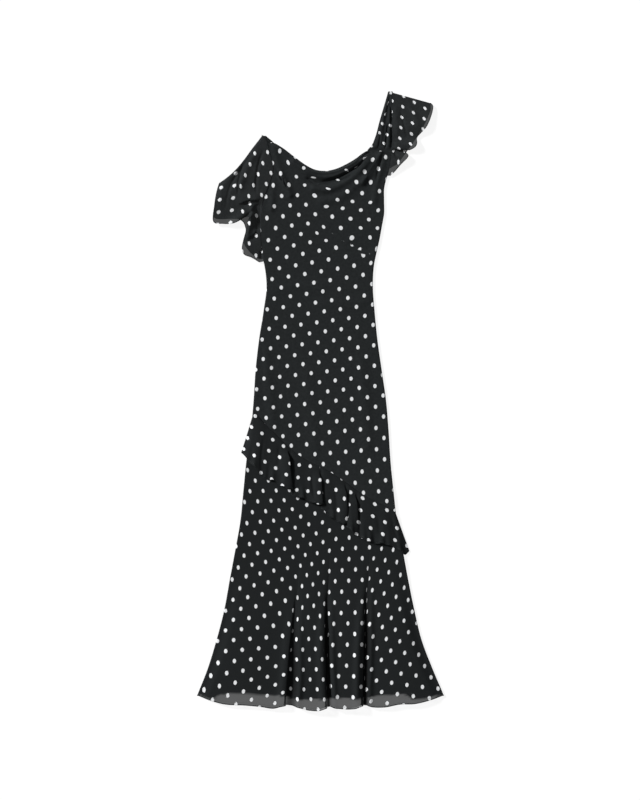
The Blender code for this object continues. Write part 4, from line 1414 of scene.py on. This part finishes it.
LEFT_CREASES = crease_rows(
    (6.0, -9, 0.2, [(-148, 466), (-147, 435), (-148, 396)]),
    (5, 6.5, 0.2, [(-161, 462), (-165, 420), (-176, 372)]),
    (4, -4, 0.2, [(-140, 354), (-139, 326)]),
    (3.0, -3, 0.3, [(-132, 596), (-146, 556), (-152, 512), (-150, 478)]),
    (8, 3.5, 0.25, [(-140, 602), (-166, 560), (-184, 520), (-196, 484)]),
    (3.2, -2.2, 0.3, [(-150, 596), (-186, 548), (-214, 500), (-226, 440)]),
    (8, 3, 0.3, [(-160, 588), (-200, 540), (-232, 500), (-240, 440)]),
    (2.6, -3.4, 0.3, [(-182, 566), (-189, 535), (-194, 504), (-194, 474)]),
)
SLEEVES = {
    "right": {
        "layers": (RIGHT_FLOUNCE, RIGHT_FLOUNCE_BACK), "outward": 1, "bow": 0.0, "fold": None,
        "prints": RIGHT_PRINTS, "switch": RIGHT_SWITCH, "laps": RIGHT_LAPS, "creases": RIGHT_CREASES,
    },
    "left": {
        "layers": (LEFT_FLOUNCE, LEFT_FLOUNCE_BACK), "outward": -1, "bow": LEFT_BOW, "fold": LEFT_FOLD,
        "prints": LEFT_PRINTS, "switch": LEFT_SWITCH, "laps": LEFT_LAPS, "creases": LEFT_CREASES,
    },
}
for side, sleeve in SLEEVES.items():
    outward = sleeve["outward"]
    grid = flounce_grid(*sleeve["layers"], outward, sleeve["bow"])
    away = beside(sleeve["switch"], grid[..., 0], grid[..., 1])[0] * outward
    is_front = ramp(grid[..., 2], ROLL, ROLL + CLOTH)
    relief = is_front * creased(grid[..., 0], grid[..., 1], sleeve["creases"])
    grid = grid + is_front[..., None] * (lapped(grid, sleeve["laps"]) - grid)
    x, y = grid[..., 0], grid[..., 1]
    printed = [(straight_print if "start" in rows else stepped_print)(x, y, **rows)
               for rows in sleeve["prints"]]
    spots = np.where((away > 0)[..., None], printed[1], printed[0])
    if sleeve["fold"]:
        past = beside(sleeve["fold"], x, y)[0]
        spots = np.where(((past > 0) & (away > 0))[..., None], printed[2], spots)
        away = np.where(away > 0, np.minimum(away, np.abs(past)), away)
    top_edge = np.hypot(x - SLEEVE_TIP[0], y - SLEEVE_TIP[1]) < SLEEVE_TIP_BARE
    grid[..., 2] += relief
    grid[..., 2] = np.where(is_front > 0, np.maximum(grid[..., 2], FLOUNCE_LOWEST), grid[..., 2])
    sheet(f"flounce_{side}_cloth", grid, spots, crepe, sheer=SHEER_FLOUNCE, thick=False,
          bare=(np.abs(away) < SWITCH_WIDTH) | top_edge)
    edge = -1 if outward > 0 else 0
    hem_roll(f"flounce_{side}_roll", grid[:, edge], spots[:, edge], sheer=SHEER_FLOUNCE)

# %% [markdown]
# ## Hidden side: the back, the lining and the back of the frill
#
# The dress lies on its back, so its hidden cloth is flat. The lining is a plain black tube inside the lower
# skirt, and its front half follows the flutes. Its edge shows through the sheer hem as a darker step.

# %% Back, lining and back frill
BACK_NECK_DROP = 14.0
BACK_HEM_LOWER = 1.6
LINING_TOP = 30.0
LINING_GAP = 0.6
LINING_INSET = 0.02
BACK_COLUMNS, BACK_ROWS = 40, 90
LINING_ROWS, LINING_NARROWED = 60, 8
FRILL_BACK_COLUMNS, FRILL_BACK_ROWS = 90, 12


def back_between(share, height):
    """Places across the flat back, between the two turned sides."""
    left, right, turn = edges(height)
    inner_left = left + turn + SIDE_SEAM_GAP
    inner_right = right - turn - SIDE_SEAM_GAP
    return inner_left + share * (inner_right - inner_left)


def back_piece(low_curve, high_curve, low_guess, high_guess, level, inset=0.0, top_gap=0.0):
    """Flat piece between two curves, at one level over the surface."""
    share = np.linspace(inset, 1 - inset, BACK_COLUMNS)
    low = settle(lambda h: back_between(share, h), low_curve, np.full_like(share, low_guess))
    high = settle(lambda h: back_between(share, h), high_curve, np.full_like(share, high_guess)) - top_gap
    height = low + np.linspace(0, 1, BACK_ROWS)[:, None] * (high - low)
    across = back_between(share, height)
    return raised(np.stack([across, height, np.full_like(across, level)], axis=-1))


def normals(grid):
    """Unit cross product of the grid's two directions."""
    normal = np.cross(np.gradient(grid, axis=1), np.gradient(grid, axis=0))
    return normal / np.linalg.norm(normal, axis=-1, keepdims=True)


grid = back_piece(lambda x: seam_height(x) + SEAM_GAP / 2, lambda x: neck_height(x) - BACK_NECK_DROP,
                  SEAM_START, NECK_GUESS, CLOTH)
sheet("back_panel_cloth", grid, print_at(BODICE_PRINT, -grid[..., 0], grid[..., 1]), crepe)
grid = back_piece(lambda x: hem_height(x) - BACK_HEM_LOWER, seam_height, HEM_GUESS, SEAM_START, CLOTH,
                  top_gap=SEAM_GAP / 2)
sheer = hem_sheer(grid[..., 0], grid[..., 1])
sheet("skirt_back_cloth", grid, print_at(FLUTE_PRINTS[1], -grid[..., 0], grid[..., 1]), crepe, thick=False,
      sheer=sheer, bare=sheer / SHEER_HEM)
grid = back_piece(lining_edge, seam_height, HEM_GUESS, SEAM_START, 2 * CLOTH + LINING_GAP, LINING_INSET,
                  LINING_TOP)
sheet("lining_back_cloth", grid, grid[..., :2], lining)
grid = raised(np.stack(skirt_grid(lining_edge, LINING_TOP, LINING_ROWS), axis=-1))
grid = (grid - (CLOTH + LINING_GAP) * normals(grid))[:, LINING_NARROWED:-LINING_NARROWED]
sheet("lining_front_cloth", grid, grid[..., :2], lining)
across, height, _, _, _ = frill_field(FRILL_BACK_COLUMNS, FRILL_BACK_ROWS, SEAM_GAP)
grid = np.stack([across, height, np.full_like(across, CLOTH)], axis=-1)
sheet("frill_back_cloth", grid, frill_print(across, height), crepe)

# %% [markdown]
# ## What each piece stands for
#
# Each sheet replaces its solid and rides on the dress's one body, with its trims. The table lists the size
# that each piece's cloth is cut to, and how it is held.

# %% Pieces on the body
CUTS = {
    "front_panel": {"flat": (0.42, 0.87), "area": 0.26, "held": "laid"},
    "back_panel": {"flat": (0.30, 0.84), "area": 0.18, "held": "laid"},
    "skirt_front": {"flat": (0.66, 0.69), "area": 0.29, "held": "laid"},
    "skirt_back": {"flat": (0.57, 0.68), "area": 0.22, "held": "laid"},
    "lining_front": {"flat": (0.56, 0.62), "area": 0.24, "held": "laid"},
    "lining_back": {"flat": (0.54, 0.62), "area": 0.21, "held": "laid"},
    "frill_front": {"flat": (0.50, 0.11), "held": "gathered"},
    "frill_back": {"flat": (0.44, 0.09), "held": "laid"},
    "strap_right": {"flat": (0.055, 0.29), "area": 0.009, "held": "gathered"},
    "strap_left": {"flat": (0.02, 0.05), "area": 0.0006, "held": "folded"},
    "flounce_right": {"flat": (0.11, 0.34), "area": 0.021, "held": "gathered"},
    "flounce_left": {"flat": (0.14, 0.48), "area": 0.042, "held": "gathered"},
}
TRIMS = {
    "front_panel": ["neckline_roll"],
    "skirt_front": ["skirt_hem_roll", "skirt_hem_stitches"],
    "frill_front": ["frill_hem_roll", "frill_hem_stitches"],
    "flounce_right": ["flounce_right_roll"],
    "flounce_left": ["flounce_left_roll"],
}
for node, cut in CUTS.items():
    piece = made[node + "_cloth"]
    trims = [made[name] for name in TRIMS.get(node, [])]
    for part in (piece, *trims):
        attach(part, "root")
    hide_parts(node)

# %% The end
bpy.context.view_layer.update()
